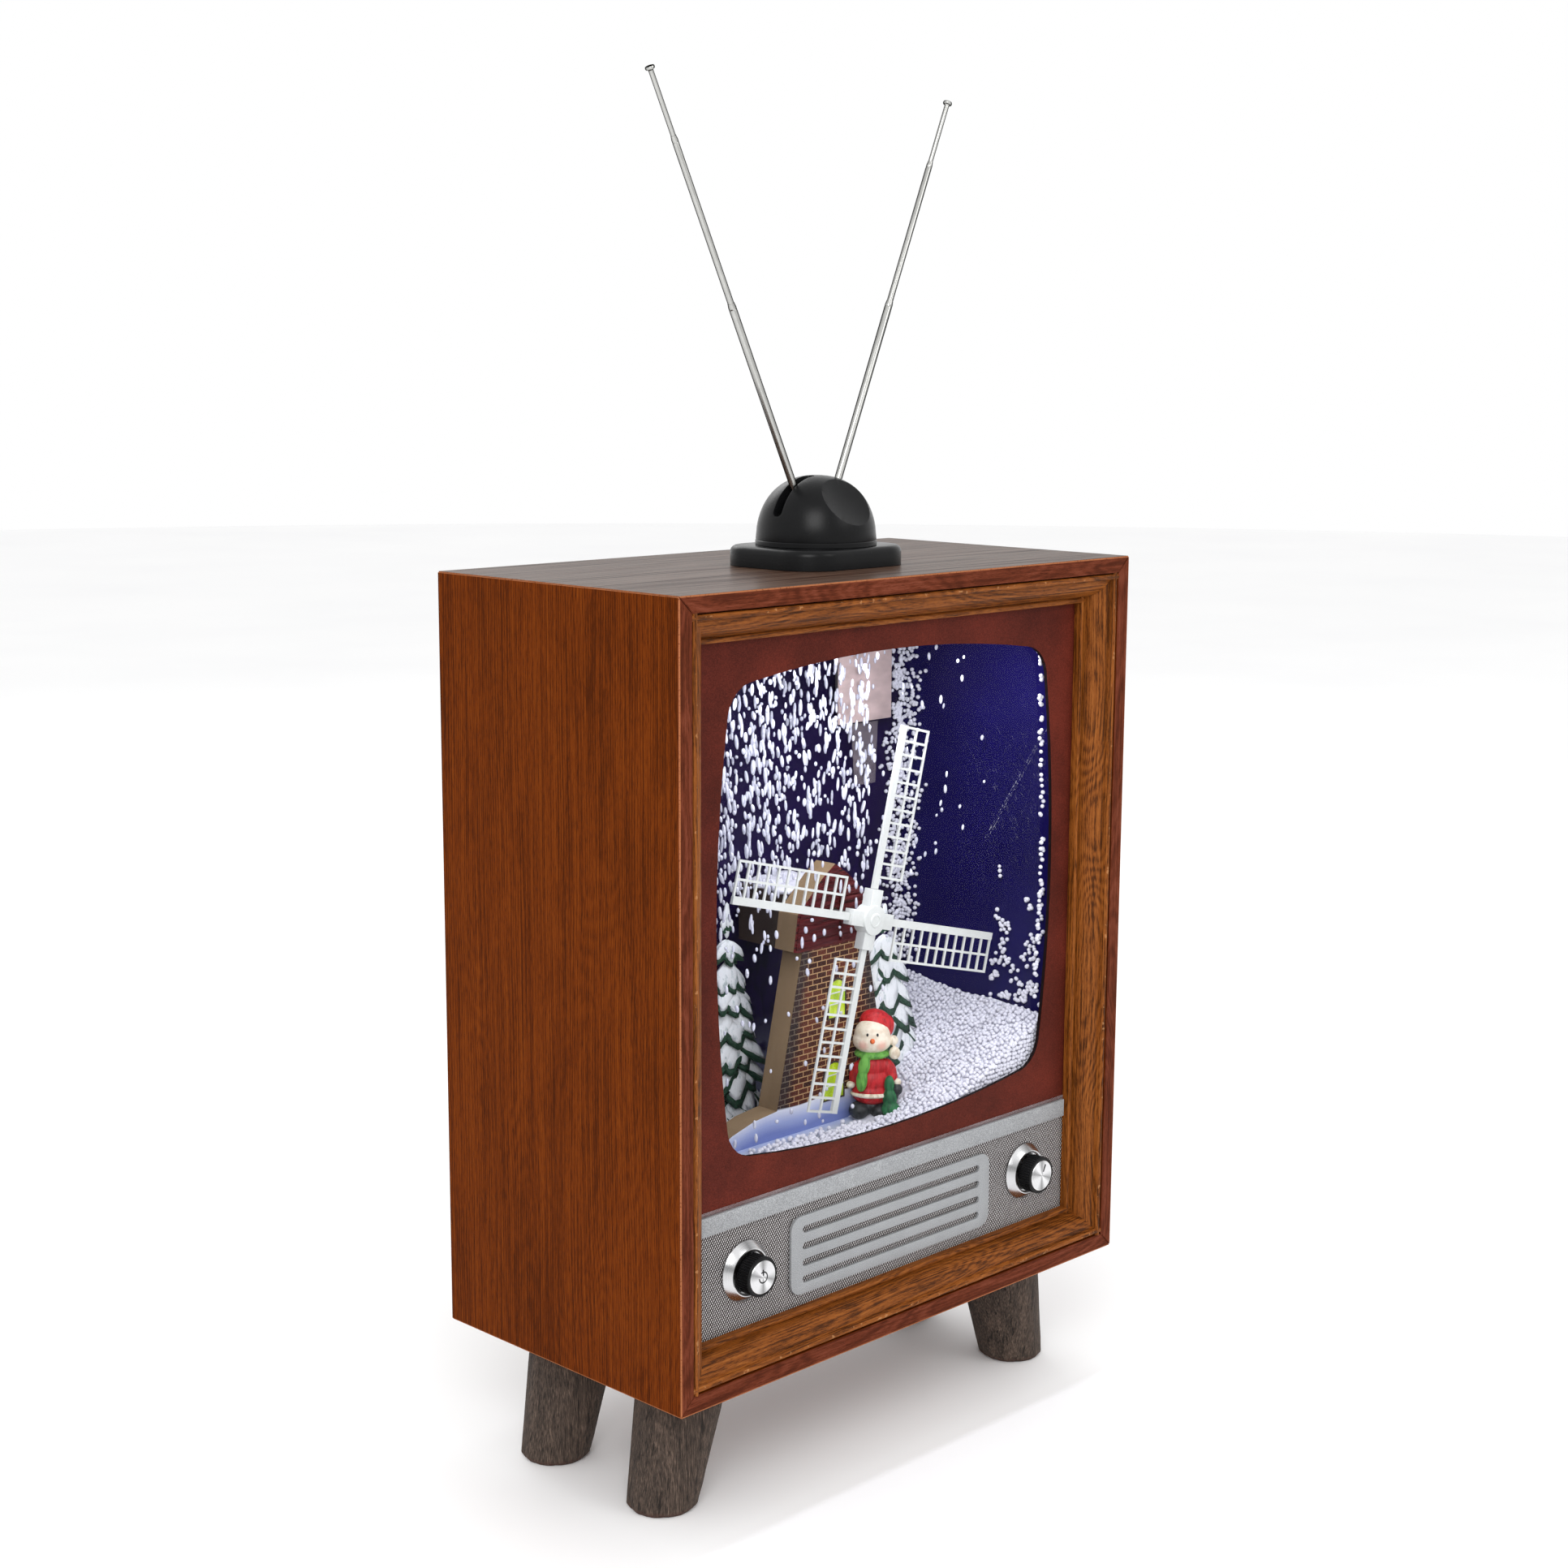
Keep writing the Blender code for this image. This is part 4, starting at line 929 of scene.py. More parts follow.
def slab(name, outline, low, high):
    """An outline of (x, z) in metres, filled and pushed back from one Y to another."""
    item = prism(name, [(x, low, z) for x, z in outline], (0, high - low, 0))
    close()
    return item


def oblong(left, right, low, high):
    """Corners of an upright rectangle, for a slab."""
    return [(left, low), (right, low), (right, high), (left, high)]


def facing(location, towards=(0, -1, 0)):
    """A place with its own Z along a direction."""
    turn = Vector(towards).to_track_quat("Z", "Y").to_matrix().to_4x4()
    return Matrix.Translation(location) @ turn


def join(name, items):
    """One piece from several."""
    only(items[0])
    for item in items:
        item.select_set(True)
    bpy.ops.object.join()
    items[0].name = name
    items[0].data.name = name
    return items[0]


def strew(name, source, places):
    """One mesh with a copy of a small shape at each place. The source is removed."""
    mesh = source.data
    corners = np.array([(*vertex.co, 1.0) for vertex in mesh.vertices])
    faces = [tuple(face.vertices) for face in mesh.polygons]
    points, polygons = [], []
    for index, place in enumerate(places):
        points.extend((corners @ np.array(place).T)[:, :3].tolist())
        first = index * len(corners)
        polygons.extend(tuple(first + i for i in face) for face in faces)
    made = bpy.data.meshes.new(name)
    made.from_pydata(points, [], polygons)
    made.shade_smooth()
    item = bpy.data.objects.new(name, made)
    bpy.context.scene.collection.objects.link(item)
    bpy.data.objects.remove(source)
    return item


def meld(name, parts, voxel, smooth=6):
    """Join rough shapes and remesh them into one soft sculpted form."""
    item = join(name, parts)
    modify(item, "REMESH", mode="VOXEL", voxel_size=voxel, adaptivity=0.0)
    modify(item, "SMOOTH", factor=0.5, iterations=smooth)
    return soften(item, 60)


def ball(centre_at, radii):
    """A rough ellipsoid, in metres."""
    item = begin("ball", bpy.ops.mesh.primitive_uv_sphere_add, segments=20, ring_count=12,
                 radius=1.0)
    return put(item, Matrix.Translation(centre_at) @ sized(*radii))


def area_light(name, location, size, power):
    """A soft light that shines down."""
    only(None)
    bpy.ops.object.light_add(type="AREA", location=location)
    light = bpy.context.object
    light.name = name
    light.data.shape = "SQUARE"
    light.data.size = size
    light.data.energy = power
    return light


def copy_node(node, name):
    """A merged copy of a CAD node, ready for finer edges."""
    item = bpy.data.objects.new(name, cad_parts[node].data.copy())
    bpy.context.scene.collection.objects.link(item)
    only(item)
    if item.data.has_custom_normals:
        bpy.ops.mesh.customdata_custom_splitnormals_clear()
    edit(item)
    bpy.ops.mesh.remove_doubles(threshold=2e-6)
    bpy.ops.mesh.dissolve_limited(angle_limit=math.radians(0.4))
    close()
    return item


def fit(item, look, body, stands_for=()):
    """Finish a piece, hang it on a body and hide the CAD nodes it stands for."""
    item.data.materials.clear()
    item.data.materials.append(finish(look))
    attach(item, body)
    if stands_for:
        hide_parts(*stands_for)
    return item


def dress(look, *nodes):
    """Finish CAD nodes whose shape stays."""
    for node in nodes:
        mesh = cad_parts[node].data
        mesh.materials.clear()
        mesh.materials.append(finish(look))


# ------------------------------------------------------------------ cabinet
class BuildCabinet(bpy.types.Operator):
    """Finish the four veneered boards"""

    bl_idname = "display.build_cabinet"
    bl_label = "Cabinet boards"

    def execute(self, context):
        dress("veneer_level", "cabinet_top", "cabinet_bottom")
        dress("veneer_upright", "cabinet_side_left", "cabinet_side_right")
        return {"FINISHED"}


LEG_FOOT, LEG_TOP, LEG_Y = 0.1744, 0.1545, 0.0525    # from the middle, in metres


def leg_surface(item, centre_at):
    """Flute and roughen a leg a little, and chip its foot."""
    for vertex in item.data.vertices:
        lean = (centre_at[1] - centre_at[0]) * (vertex.co.z / centre_at[2])
        middle = Vector((centre_at[0] + lean, centre_at[3], vertex.co.z))
        out = vertex.co - middle
        if out.length < 5 * MM:
            continue
        angle = math.atan2(out.y, out.x)
        ridge = noise.noise(Vector((math.cos(angle) * 5, math.sin(angle) * 5, vertex.co.z * 12)))
        fine = noise.noise(Vector((math.cos(angle) * 19, math.sin(angle) * 19, vertex.co.z * 30)))
        chip = 0.0
        if vertex.co.z < 4 * MM:
            chip = max(0.0, noise.noise(Vector((out.x * 160, out.y * 160, 3.0)))) * 2.2 * MM
        vertex.co -= out.normalized() * (0.35 * MM + ridge * 0.35 * MM + fine * 0.2 * MM + chip)


class BuildLegs(bpy.types.Operator):
    """Model the four tapered, leaning legs"""

    bl_idname = "display.build_legs"
    bl_label = "Legs"

    def execute(self, context):
        for end, y_sign in (("front", -1), ("back", 1)):
            for side, x_sign in (("left", -1), ("right", 1)):
                node = f"leg_{end}_{side}"
                foot_x, top_x, leg_y = x_sign * LEG_FOOT, x_sign * LEG_TOP, y_sign * LEG_Y
                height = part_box(node)[1].z
                rings = ((23.5 - 2.4, 0.0), (23.5, 2.6), (24.3, 12), (25.2, 24), (26.2, 36),
                         (27.2, 48), (28.2, 60), (29.2, 74), (30.2, height / MM))
                item = lathe(f"{node}_turned", [(0, 0), *rings, (0, height / MM)], 72)
                for vertex in item.data.vertices:
                    share = vertex.co.z / height
                    vertex.co.x += foot_x + (top_x - foot_x) * share
                    vertex.co.y += leg_y
                leg_surface(item, (foot_x, top_x, height, leg_y))
                soften(item, 40)
                fit(item, "weathered_leg", "cabinet", [node])
        return {"FINISHED"}


def half_round(inset, depth, half_width, rise):
    """A small bead on the moulding, from one side of it to the other."""
    return [(inset - half_width * math.cos(math.pi * i / 8),
             depth - rise * math.sin(math.pi * i / 8)) for i in range(9)]


def moulding_section():
    """(inset from the board, depth behind the front) in millimetres, a bead, a cove and a lip."""
    cove = [(6.2 + 10.3 * math.sin(a), 4.0 + 12.9 * (1 - math.cos(a)))
            for a in [math.pi / 2 * i / 16 for i in range(1, 15)]]
    return [(0.3, 21.7), (0.3, 5.2), (0.9, 4.6), (0.9, 2.4), *half_round(2.9, 2.3, 2.0, 2.1),
            (4.9, 3.2), (5.2, 3.9), (6.2, 4.0), *cove, (16.7, 16.8), (17.3, 16.6),
            *half_round(19.1, 16.6, 1.8, 1.0), (21.0, 17.4), (21.0, 21.7)]


class BuildMoulding(bpy.types.Operator):
    """Model the mitred moulding around the front"""

    bl_idname = "display.build_moulding"
    bl_label = "Moulding"

    def execute(self, context):
        half_height = TOP - MIDDLE - 11 * MM
        bars = (("top", INNER, half_height, 0), ("right", half_height, INNER, 90),
                ("bottom", INNER, half_height, 180), ("left", half_height, INNER, 270))
        for side, along, across, turn in bars:
            name = f"oak_moulding_{side}"
            points = [(-along - MM, FRONT + depth * MM, across - inset * MM)
                      for inset, depth in moulding_section()]
            item = prism(name, points, (2 * (along + MM), 0, 0))
            for sign in (-1, 1):
                bpy.ops.mesh.select_all(action="SELECT")
                bpy.ops.mesh.bisect(plane_co=(sign * (along - 0.1 * MM), 0, across),
                                    plane_no=(sign, 0, 1), use_fill=True, clear_outer=True)
            tidy_faces()
            close()
            put(item, Matrix.Translation((0, 0, MIDDLE))
                @ Matrix.Rotation(math.radians(turn), 4, "Y"))
            soften(item, 30)
            look = "oak_level" if side in ("top", "bottom") else "oak_upright"
            fit(item, look, "cabinet", [f"moulding_{side}"])
        return {"FINISHED"}


# ------------------------------------------------------------------ front
class BuildFront(bpy.types.Operator):
    """Finish the fascia, window, strip, speaker cloth and grille plate"""

    bl_idname = "display.build_front"
    bl_label = "Front panel"

    def execute(self, context):
        dress("fascia_panel_paint", "fascia_panel")
        dress("clear_window", "screen_window")
        dress("speaker_cloth", "speaker_mesh")
        strip = ease(copy_node("divider_strip", "silver_strip"), 0.2 * MM, 2)
        fit(soften(strip), "silver_paint", "cabinet", ["divider_strip"])
        grille = ease(copy_node("grille_plate", "slotted_grille"), 0.5 * MM, 3)
        fit(soften(grille), "silver_paint", "cabinet", ["grille_plate"])
        low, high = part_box("divider_strip")
        film = slab("strip_film", oblong(low.x - 8 * MM, high.x + 8 * MM, high.z - 1 * MM,
                                         high.z + 2.4 * MM),
                    FASCIA - 0.55 * MM, FASCIA - 0.05 * MM)
        fit(soften(ease(film, 0.15 * MM)), "milky_film", "cabinet")
        return {"FINISHED"}


def build_knob(side, label, ribs):
    """Bezel, ribbed knob body and cap for one control. Heights run to the viewer."""
    middle = centre(f"bezel_{side}")
    place = facing((middle.x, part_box(f"bezel_{side}")[1].y, middle.z))
    bezel = [(6.2, 0.0), (19.6, 0.0), (20.0, 0.4), (19.9, 1.0), (19.3, 1.7), (16.2, 4.9),
             (15.5, 5.45), (14.9, 5.5), (14.4, 5.2), (14.0, 3.2), (13.6, 3.0), (6.2, 3.0)]
    item = lathe(f"chrome_bezel_{side}", bezel, 72, place, ring=True, angle=28)
    fit(item, f"bezel_chrome_{side}", "cabinet", [f"bezel_{side}"])

    body = f"{label}_dial"
    knob = [(0, 6.0), (12.2, 6.0), (12.5, 6.3), (12.5, 14.9), (12.9, 15.2), (12.95, 15.8),
            (12.6, 16.2), (11.9, 16.4), (11.3, 16.2), (11.1, 15.4), (0, 15.4)]
    item = lathe(f"{label}_knob_turned", knob, 64, place)
    fit(item, "knob_black", body, [f"{label}_knob"])
    rib = begin("rib", bpy.ops.mesh.primitive_cylinder_add, vertices=8, radius=0.5 * MM,
                depth=8.2 * MM)
    choose(rib, "FACE", lambda place_at, normal: abs(normal.z) > 0.9)
    bpy.ops.mesh.inset(thickness=0.12 * MM, depth=0.2 * MM)
    close()
    turns = [place @ Matrix.Rotation(math.tau * i / ribs, 4, "Z")
             @ Matrix.Translation((12.55 * MM, 0, 10.6 * MM)) for i in range(ribs)]
    ring = strew(f"{label}_knob_ribs", rib, turns)
    soften(ring, 40)
    fit(ring, "knob_black", body)
    cap = [(0, 15.5), (10.9, 15.5), (11.0, 16.1), (10.75, 16.6), (10.3, 16.85), (9.8, 16.8),
           (9.5, 16.65), (0, 16.95)]
    item = lathe(f"{label}_cap_spun", cap, 72, place, angle=50)
    fit(item, f"spun_cap_{side}", body, [f"{label}_knob_cap"])
    return place, body


class BuildKnobs(bpy.types.Operator):
    """Model both knobs with their bezels, caps and marks"""

    bl_idname = "display.build_knobs"
    bl_label = "Knobs"

    def execute(self, context):
        ribs = context.scene.display_trim.knob_ribs
        place, body = build_knob("left", "power", ribs)
        face = 16.86
        wire = [(3.0, face), (3.45, face - 0.1), (3.9, face), (3.45, face + 0.14)]
        opening = math.radians(62)
        start = place @ Matrix.Rotation(math.pi / 2 + opening / 2, 4, "Z")
        arc = lathe("power_mark_ring", wire, 40, start, ring=True, sweep=math.tau - opening)
        bar = block("power_mark_bar", place @ Matrix.Translation((0, 3.0 * MM, (face + 0.02) * MM)),
                    (0.85, 3.8, 0.3))
        ease(bar, 0.1 * MM)
        fit(join("power_mark", [arc, bar]), "mark_dark", body)
        place, body = build_knob("right", "volume", ribs)
        turn = Matrix.Rotation(math.radians(-28), 4, "Z")
        line = block("volume_pointer", place @ turn
                     @ Matrix.Translation((0, 5.6 * MM, (face + 0.02) * MM)), (0.8, 5.4, 0.3))
        fit(ease(line, 0.1 * MM), "mark_dark", body)
        dress("steel_plain", "power_shaft", "volume_shaft", "power_switch", "volume_control")
        return {"FINISHED"}


# ------------------------------------------------------------------ antenna
def rounded_box(name, size, corner, top_edge, location):
    """A plate with rounded plan corners and a soft top edge."""
    width, depth, height = size
    item = begin(name, bpy.ops.mesh.primitive_plane_add, size=1.0)
    edit(put(item, sized(width, depth, 1.0)))
    bpy.ops.mesh.bevel(offset=corner, segments=12, affect="VERTICES")
    bpy.ops.mesh.select_all(action="SELECT")
    bpy.ops.mesh.extrude_region_move(TRANSFORM_OT_translate={"value": (0, 0, height)})
    tidy_faces()
    close()
    choose(item, "EDGE", lambda a, b: min(a.z, b.z) > height - 1e-5)
    bpy.ops.mesh.bevel(offset=top_edge, segments=5, affect="EDGES")
    close()
    return put(item, Matrix.Translation(location))


def slot_cutter(sign, pivot, y, half_width):
    """Wedge that a rod swings through."""
    start, stop, near, reach, steps = math.radians(-6), math.radians(73), 0.008, 0.060, 8
    swept = [start + (stop - start) * step / steps for step in range(steps + 1)]
    around = [(near, start), *((reach, angle) for angle in swept), (near, stop)]
    points = [(pivot.x + sign * radius * math.sin(angle), pivot.z + radius * math.cos(angle))
              for radius, angle in around]
    cutter = slab("slot_cutter", points, y - half_width, y + half_width)
    choose(cutter, "EDGE", lambda a, b: (b - a).length > 0.05 and abs(a.y - b.y) < 1e-6)
    bpy.ops.mesh.bevel(offset=3.3 * MM, segments=6, affect="EDGES")
    close()
    return cutter


class BuildAntennaBase(bpy.types.Operator):
    """Model the antenna's plinth and slotted dome"""

    bl_idname = "display.build_antenna_base"
    bl_label = "Antenna base"

    def execute(self, context):
        dome_low, dome_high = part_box("antenna_dome")
        middle = (dome_low + dome_high) / 2
        plinth_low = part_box("antenna_plinth")[0]
        plinth = rounded_box("antenna_plinth_moulded", (0.102, 0.088, 0.013), 0.026, 0.0042,
                             (0, middle.y, plinth_low.z))
        ears = []
        pivot = {side: centre(f"antenna_pivot_{side}") for side in ("left", "right")}
        for sign in (-1, 1):
            spot = (0, middle.y + sign * 9.3 * MM, plinth_low.z + 20.5 * MM)
            ear = block("ear", Matrix.Translation(spot), (33, 2.8, 16))
            ears.append(ease(ear, 0.6 * MM))
        plinth = join("antenna_plinth_moulded", [plinth, *ears])
        fit(soften(plinth, 35), "antenna_black", "cabinet", ["antenna_plinth"])

        radius, height, bore, hollow = 39.8, 45.0, 35.0, 39.0
        power = 2 / 2.29        # fuller at the shoulder than an ellipse
        outer = [(40.0, 0.0), (40.0, 2.6), (39.6, 3.1), (39.75, 3.7)]
        outer += [(radius * math.cos(a) ** power, height * math.sin(a) ** power)
                  for a in [math.pi / 2 * i / 22 for i in range(3, 22)]]
        inner = [(bore * math.cos(a), hollow * math.sin(a))
                 for a in [math.pi / 2 * (1 - i / 10) for i in range(1, 11)]]
        profile = [*outer, (0.0, height), (0.0, hollow), *inner]
        place = Matrix.Translation((0, middle.y, dome_low.z))
        dome = lathe("antenna_dome_moulded", profile, 80, place, ring=True)
        for side, sign in (("left", -1), ("right", 1)):
            cut(dome, slot_cutter(sign, pivot[side], middle.y, 3.8 * MM))
        for sign in (-1, 1):
            tilt = math.radians(41)
            out = Vector((0, sign * math.cos(tilt), math.sin(tilt)))
            at = Vector((0, middle.y, dome_low.z)) + out * 37.2 * MM
            dish = lathe("dish", [(0, 0), (8, 0.3), (16, 1.2), (24, 2.6), (24, 20), (0, 20)], 64,
                         facing(at, out))
            cut(dome, dish)
        edit(dome)
        bpy.ops.mesh.remove_doubles(threshold=2e-5)
        close()
        ease(dome, 0.55 * MM, 3, 38)
        fit(soften(dome, 30), "antenna_black", "cabinet", ["antenna_dome"])
        return {"FINISHED"}


class BuildRods(bpy.types.Operator):
    """Model the telescopic sections of both rods"""

    bl_idname = "display.build_rods"
    bl_label = "Antenna rods"

    def execute(self, context):
        leans = {"left": -26.2, "right": 22.8}
        shows = {"left": 110.0, "right": 100.0}
        lower_end, tip_shows, middle_length, tip_length = 160.0, 44.0, 150.0, 146.0
        for side, lean in leans.items():
            place = (Matrix.Translation(centre(f"antenna_pivot_{side}"))
                     @ Matrix.Rotation(math.radians(lean), 4, "Y"))
            middle_end = lower_end + shows[side]
            tip_end = middle_end + tip_shows
            tubes = {"lower": (2.6, 2.25, 6.0, lower_end),
                     "middle": (2.1, 1.75, middle_end - middle_length, middle_end)}
            for part, (outer, bore, start, end) in tubes.items():
                profile = [(0, start), (outer - 0.2, start), (outer, start + 0.3),
                           (outer, end - 4.6), (outer - 0.12, end - 4.2), (outer, end - 3.8),
                           (outer, end - 2.6), (outer - 0.32, end - 0.4), (bore + 0.03, end),
                           (bore, end - 0.2), (bore, start + 3), (0, start + 3)]
                item = lathe(f"rod_{side}_{part}_tube", profile, 24, place)
                fit(item, "rod_chrome", f"{side}_rod_{part}", [f"rod_{side}_{part}"])
            start = tip_end - tip_length
            profile = [(0, start), (1.5, start), (1.6, start + 0.2), (1.6, tip_end - 3.0),
                       (1.9, tip_end - 2.6), (2.7, tip_end - 2.3), (3.05, tip_end - 1.8),
                       (3.1, tip_end - 1.1), (2.8, tip_end - 0.4), (1.6, tip_end - 0.1),
                       (0, tip_end)]
            item = lathe(f"rod_{side}_tip_drawn", profile, 28, place)
            fit(item, "rod_chrome", f"{side}_rod_tip", [f"rod_{side}_tip"])
        dress("brass_turned", "antenna_pivot_left", "antenna_pivot_right")
        return {"FINISHED"}


# ------------------------------------------------------------------ chamber
class BuildChamber(bpy.types.Operator):
    """Finish the lit chamber, its lamp, base plate and outlet baffle"""

    bl_idname = "display.build_chamber"
    bl_label = "Snow chamber"

    def execute(self, context):
        dress("night_liner", "snow_chamber")
        dress("lamp_diffuser", "light_bar")
        dress("scenic_plate", "scenic_base")
        baffle = slab("outlet_baffle", oblong(0.094, 0.150, up(376), up(463)),
                      BACK_WALL - 9 * MM, BACK_WALL - 7.5 * MM)
        fit(soften(ease(baffle, 0.5 * MM)), "baffle_pink", "cabinet")
        tail = slab("outlet_flap", [(0.112, up(330)), (0.134, up(330)), (0.136, up(375)),
                                    (0.108, up(375))], BACK_WALL - 8.6 * MM, BACK_WALL - 8 * MM)
        fit(soften(tail), "milky_film", "cabinet")
        lamp = area_light("chamber_lamp", (0, -0.06, CEILING - 12 * MM), 0.27,
                          context.scene.display_snow.lamp_power)
        lamp.data.shape = "RECTANGLE"
        lamp.data.size_y = 0.03
        lamp.data.color = (0.92, 0.94, 1.0)
        return {"FINISHED"}


def tower_width(height):
    """Half width of the roof at a height above the cabinet's underside, in millimetres."""
    corners = [(242, 40), (267, 36), (289, 12), (297, 0.5)]
    for (z0, w0), (z1, w1) in zip(corners, corners[1:]):
        if height <= z1:
            return w0 + (w1 - w0) * (height - z0) / (z1 - z0)
    return 0.5


def arch(name, x, low, high, half, y_low, y_high):
    """An arched pane between two Y planes, sizes in millimetres."""
    points = [(x - half, low), (x + half, low)]
    points += [(x + half * math.cos(a), high - half + half * math.sin(a))
               for a in [math.pi * i / 10 for i in range(11)]]
    return slab(name, [(px * MM, up(pz)) for px, pz in points], y_low, y_high)


def build_roof():
    """Overlapping roof boards on the tower's front, cut away around the axle."""
    face, middle, deep, board_height = TOWER[0].y, AXLE.x / MM + 1, 5.2, 4.7
    boards = []
    for row in range(10):
        low = 243.0 + row * deep
        for side, proud in ((-1, 0.8), (1, 2.4)):
            inner = middle + (4 if side > 0 else 3)
            edge_low = middle + side * (tower_width(low) - 1.6)
            edge_high = middle + side * (tower_width(min(low + board_height, 296)) - 1.6)
            if side * (edge_high - inner) < 1.0:
                continue
            outline = [(inner, low), (edge_low, low), (edge_high, low + board_height),
                       (inner, low + board_height)]
            board = slab("board", [(x * MM, up(z)) for x, z in outline], face - proud * MM,
                         face - 0.02 * MM)
            boards.append(ease(board, 0.35 * MM, 2))
    roof = join("tower_roof_boards", boards)
    hole = begin("hole", bpy.ops.mesh.primitive_cylinder_add, radius=3.2 * MM, depth=0.02,
                 rotation=(math.pi / 2, 0, 0), location=(AXLE.x, face, AXLE.z))
    fit(soften(cut(roof, hole)), "roof_boards", "cabinet")


def build_window(number, x, low, high, half):
    """An arched window on the tower: frame, lit pane and two bars, sizes in millimetres."""
    face = TOWER[0].y
    ring = arch(f"tower_window_frame_{number}", x, low - 1.2, high + 1.2, half + 1.2,
                face - 0.9 * MM, face - 0.02 * MM)
    cut(ring, arch("inside", x, low, high, half, face - 5 * MM, face + 5 * MM))
    fit(soften(ease(ring, 0.2 * MM)), "motor_box", "cabinet")
    pane = arch(f"tower_window_{number}", x, low, high, half, face - 0.4 * MM, face - 0.02 * MM)
    levels = (low + (high - low) * share for share in (0.36, 0.66))
    bars = [slab("bar", oblong((x - half) * MM, (x + half) * MM, up(z - 0.4), up(z + 0.4)),
                 face - 0.8 * MM, face - 0.3 * MM) for z in levels]
    fit(soften(pane), "lit_window", "cabinet")
    fit(join(f"tower_window_bars_{number}", bars), "sail_white", "cabinet")


class BuildWindmill(bpy.types.Operator):
    """Finish the tower, model its roof boards and windows, and finish the rotor"""

    bl_idname = "display.build_windmill"
    bl_label = "Windmill"

    def execute(self, context):
        dress("tower_print", "windmill_tower")
        dress("motor_box", "windmill_motor")
        build_roof()
        build_window(1, 19, 190, 216, 8)
        build_window(2, 16.5, 133, 158, 9.5)
        hub = ease(copy_node("rotor_hub", "rotor_hub_moulded"), 0.45 * MM, 3, 40)
        profile = [(0, 5.0), (4.6, 5.0), (5.0, 6.2), (4.4, 6.9), (3.4, 7.0), (3.0, 6.4), (0, 6.3)]
        hub = join("rotor_hub_moulded", [hub, lathe("boss", profile, 40, facing(AXLE))])
        fit(soften(hub, 40), "sail_white", "windmill_rotor", ["rotor_hub"])
        thinner = 0.55
        for index in range(1, 5):
            sail = copy_node(f"sail_{index}", f"sail_{index}_moulded")
            edit(sail)
            bpy.ops.transform.resize(value=(1, thinner, 1), center_override=(0, AXLE.y, 0))
            close()
            ease(sail, 0.2 * MM, 1, 40)
            fit(soften(sail, 40), "sail_white", "windmill_rotor", [f"sail_{index}"])
        dress("steel_plain", "rotor_shaft")
        return {"FINISHED"}


# ------------------------------------------------------------------ snowman
FIGURE = Vector((0.0418, -0.0325, FLOOR + 6.3 * MM))
FIGURE_TURN = math.radians(-46)


def figure_point(x, y, z):
    """A place on the snowman, in millimetres in its own frame, where -Y is its front."""
    return FIGURE + Matrix.Rotation(FIGURE_TURN, 3, "Z") @ Vector((x, y, z)) * MM


def lump(x, y, z, rx, ry, rz, lean=0.0):
    """A rough ellipsoid in the snowman's own frame, in millimetres."""
    item = begin("lump", bpy.ops.mesh.primitive_uv_sphere_add, segments=20, ring_count=12,
                 radius=MM)
    return put(item, Matrix.Translation(FIGURE) @ Matrix.Rotation(FIGURE_TURN, 4, "Z")
               @ Matrix.Translation(Vector((x, y, z)) * MM)
               @ Matrix.Rotation(math.radians(lean), 4, "Y") @ sized(rx, ry, rz))


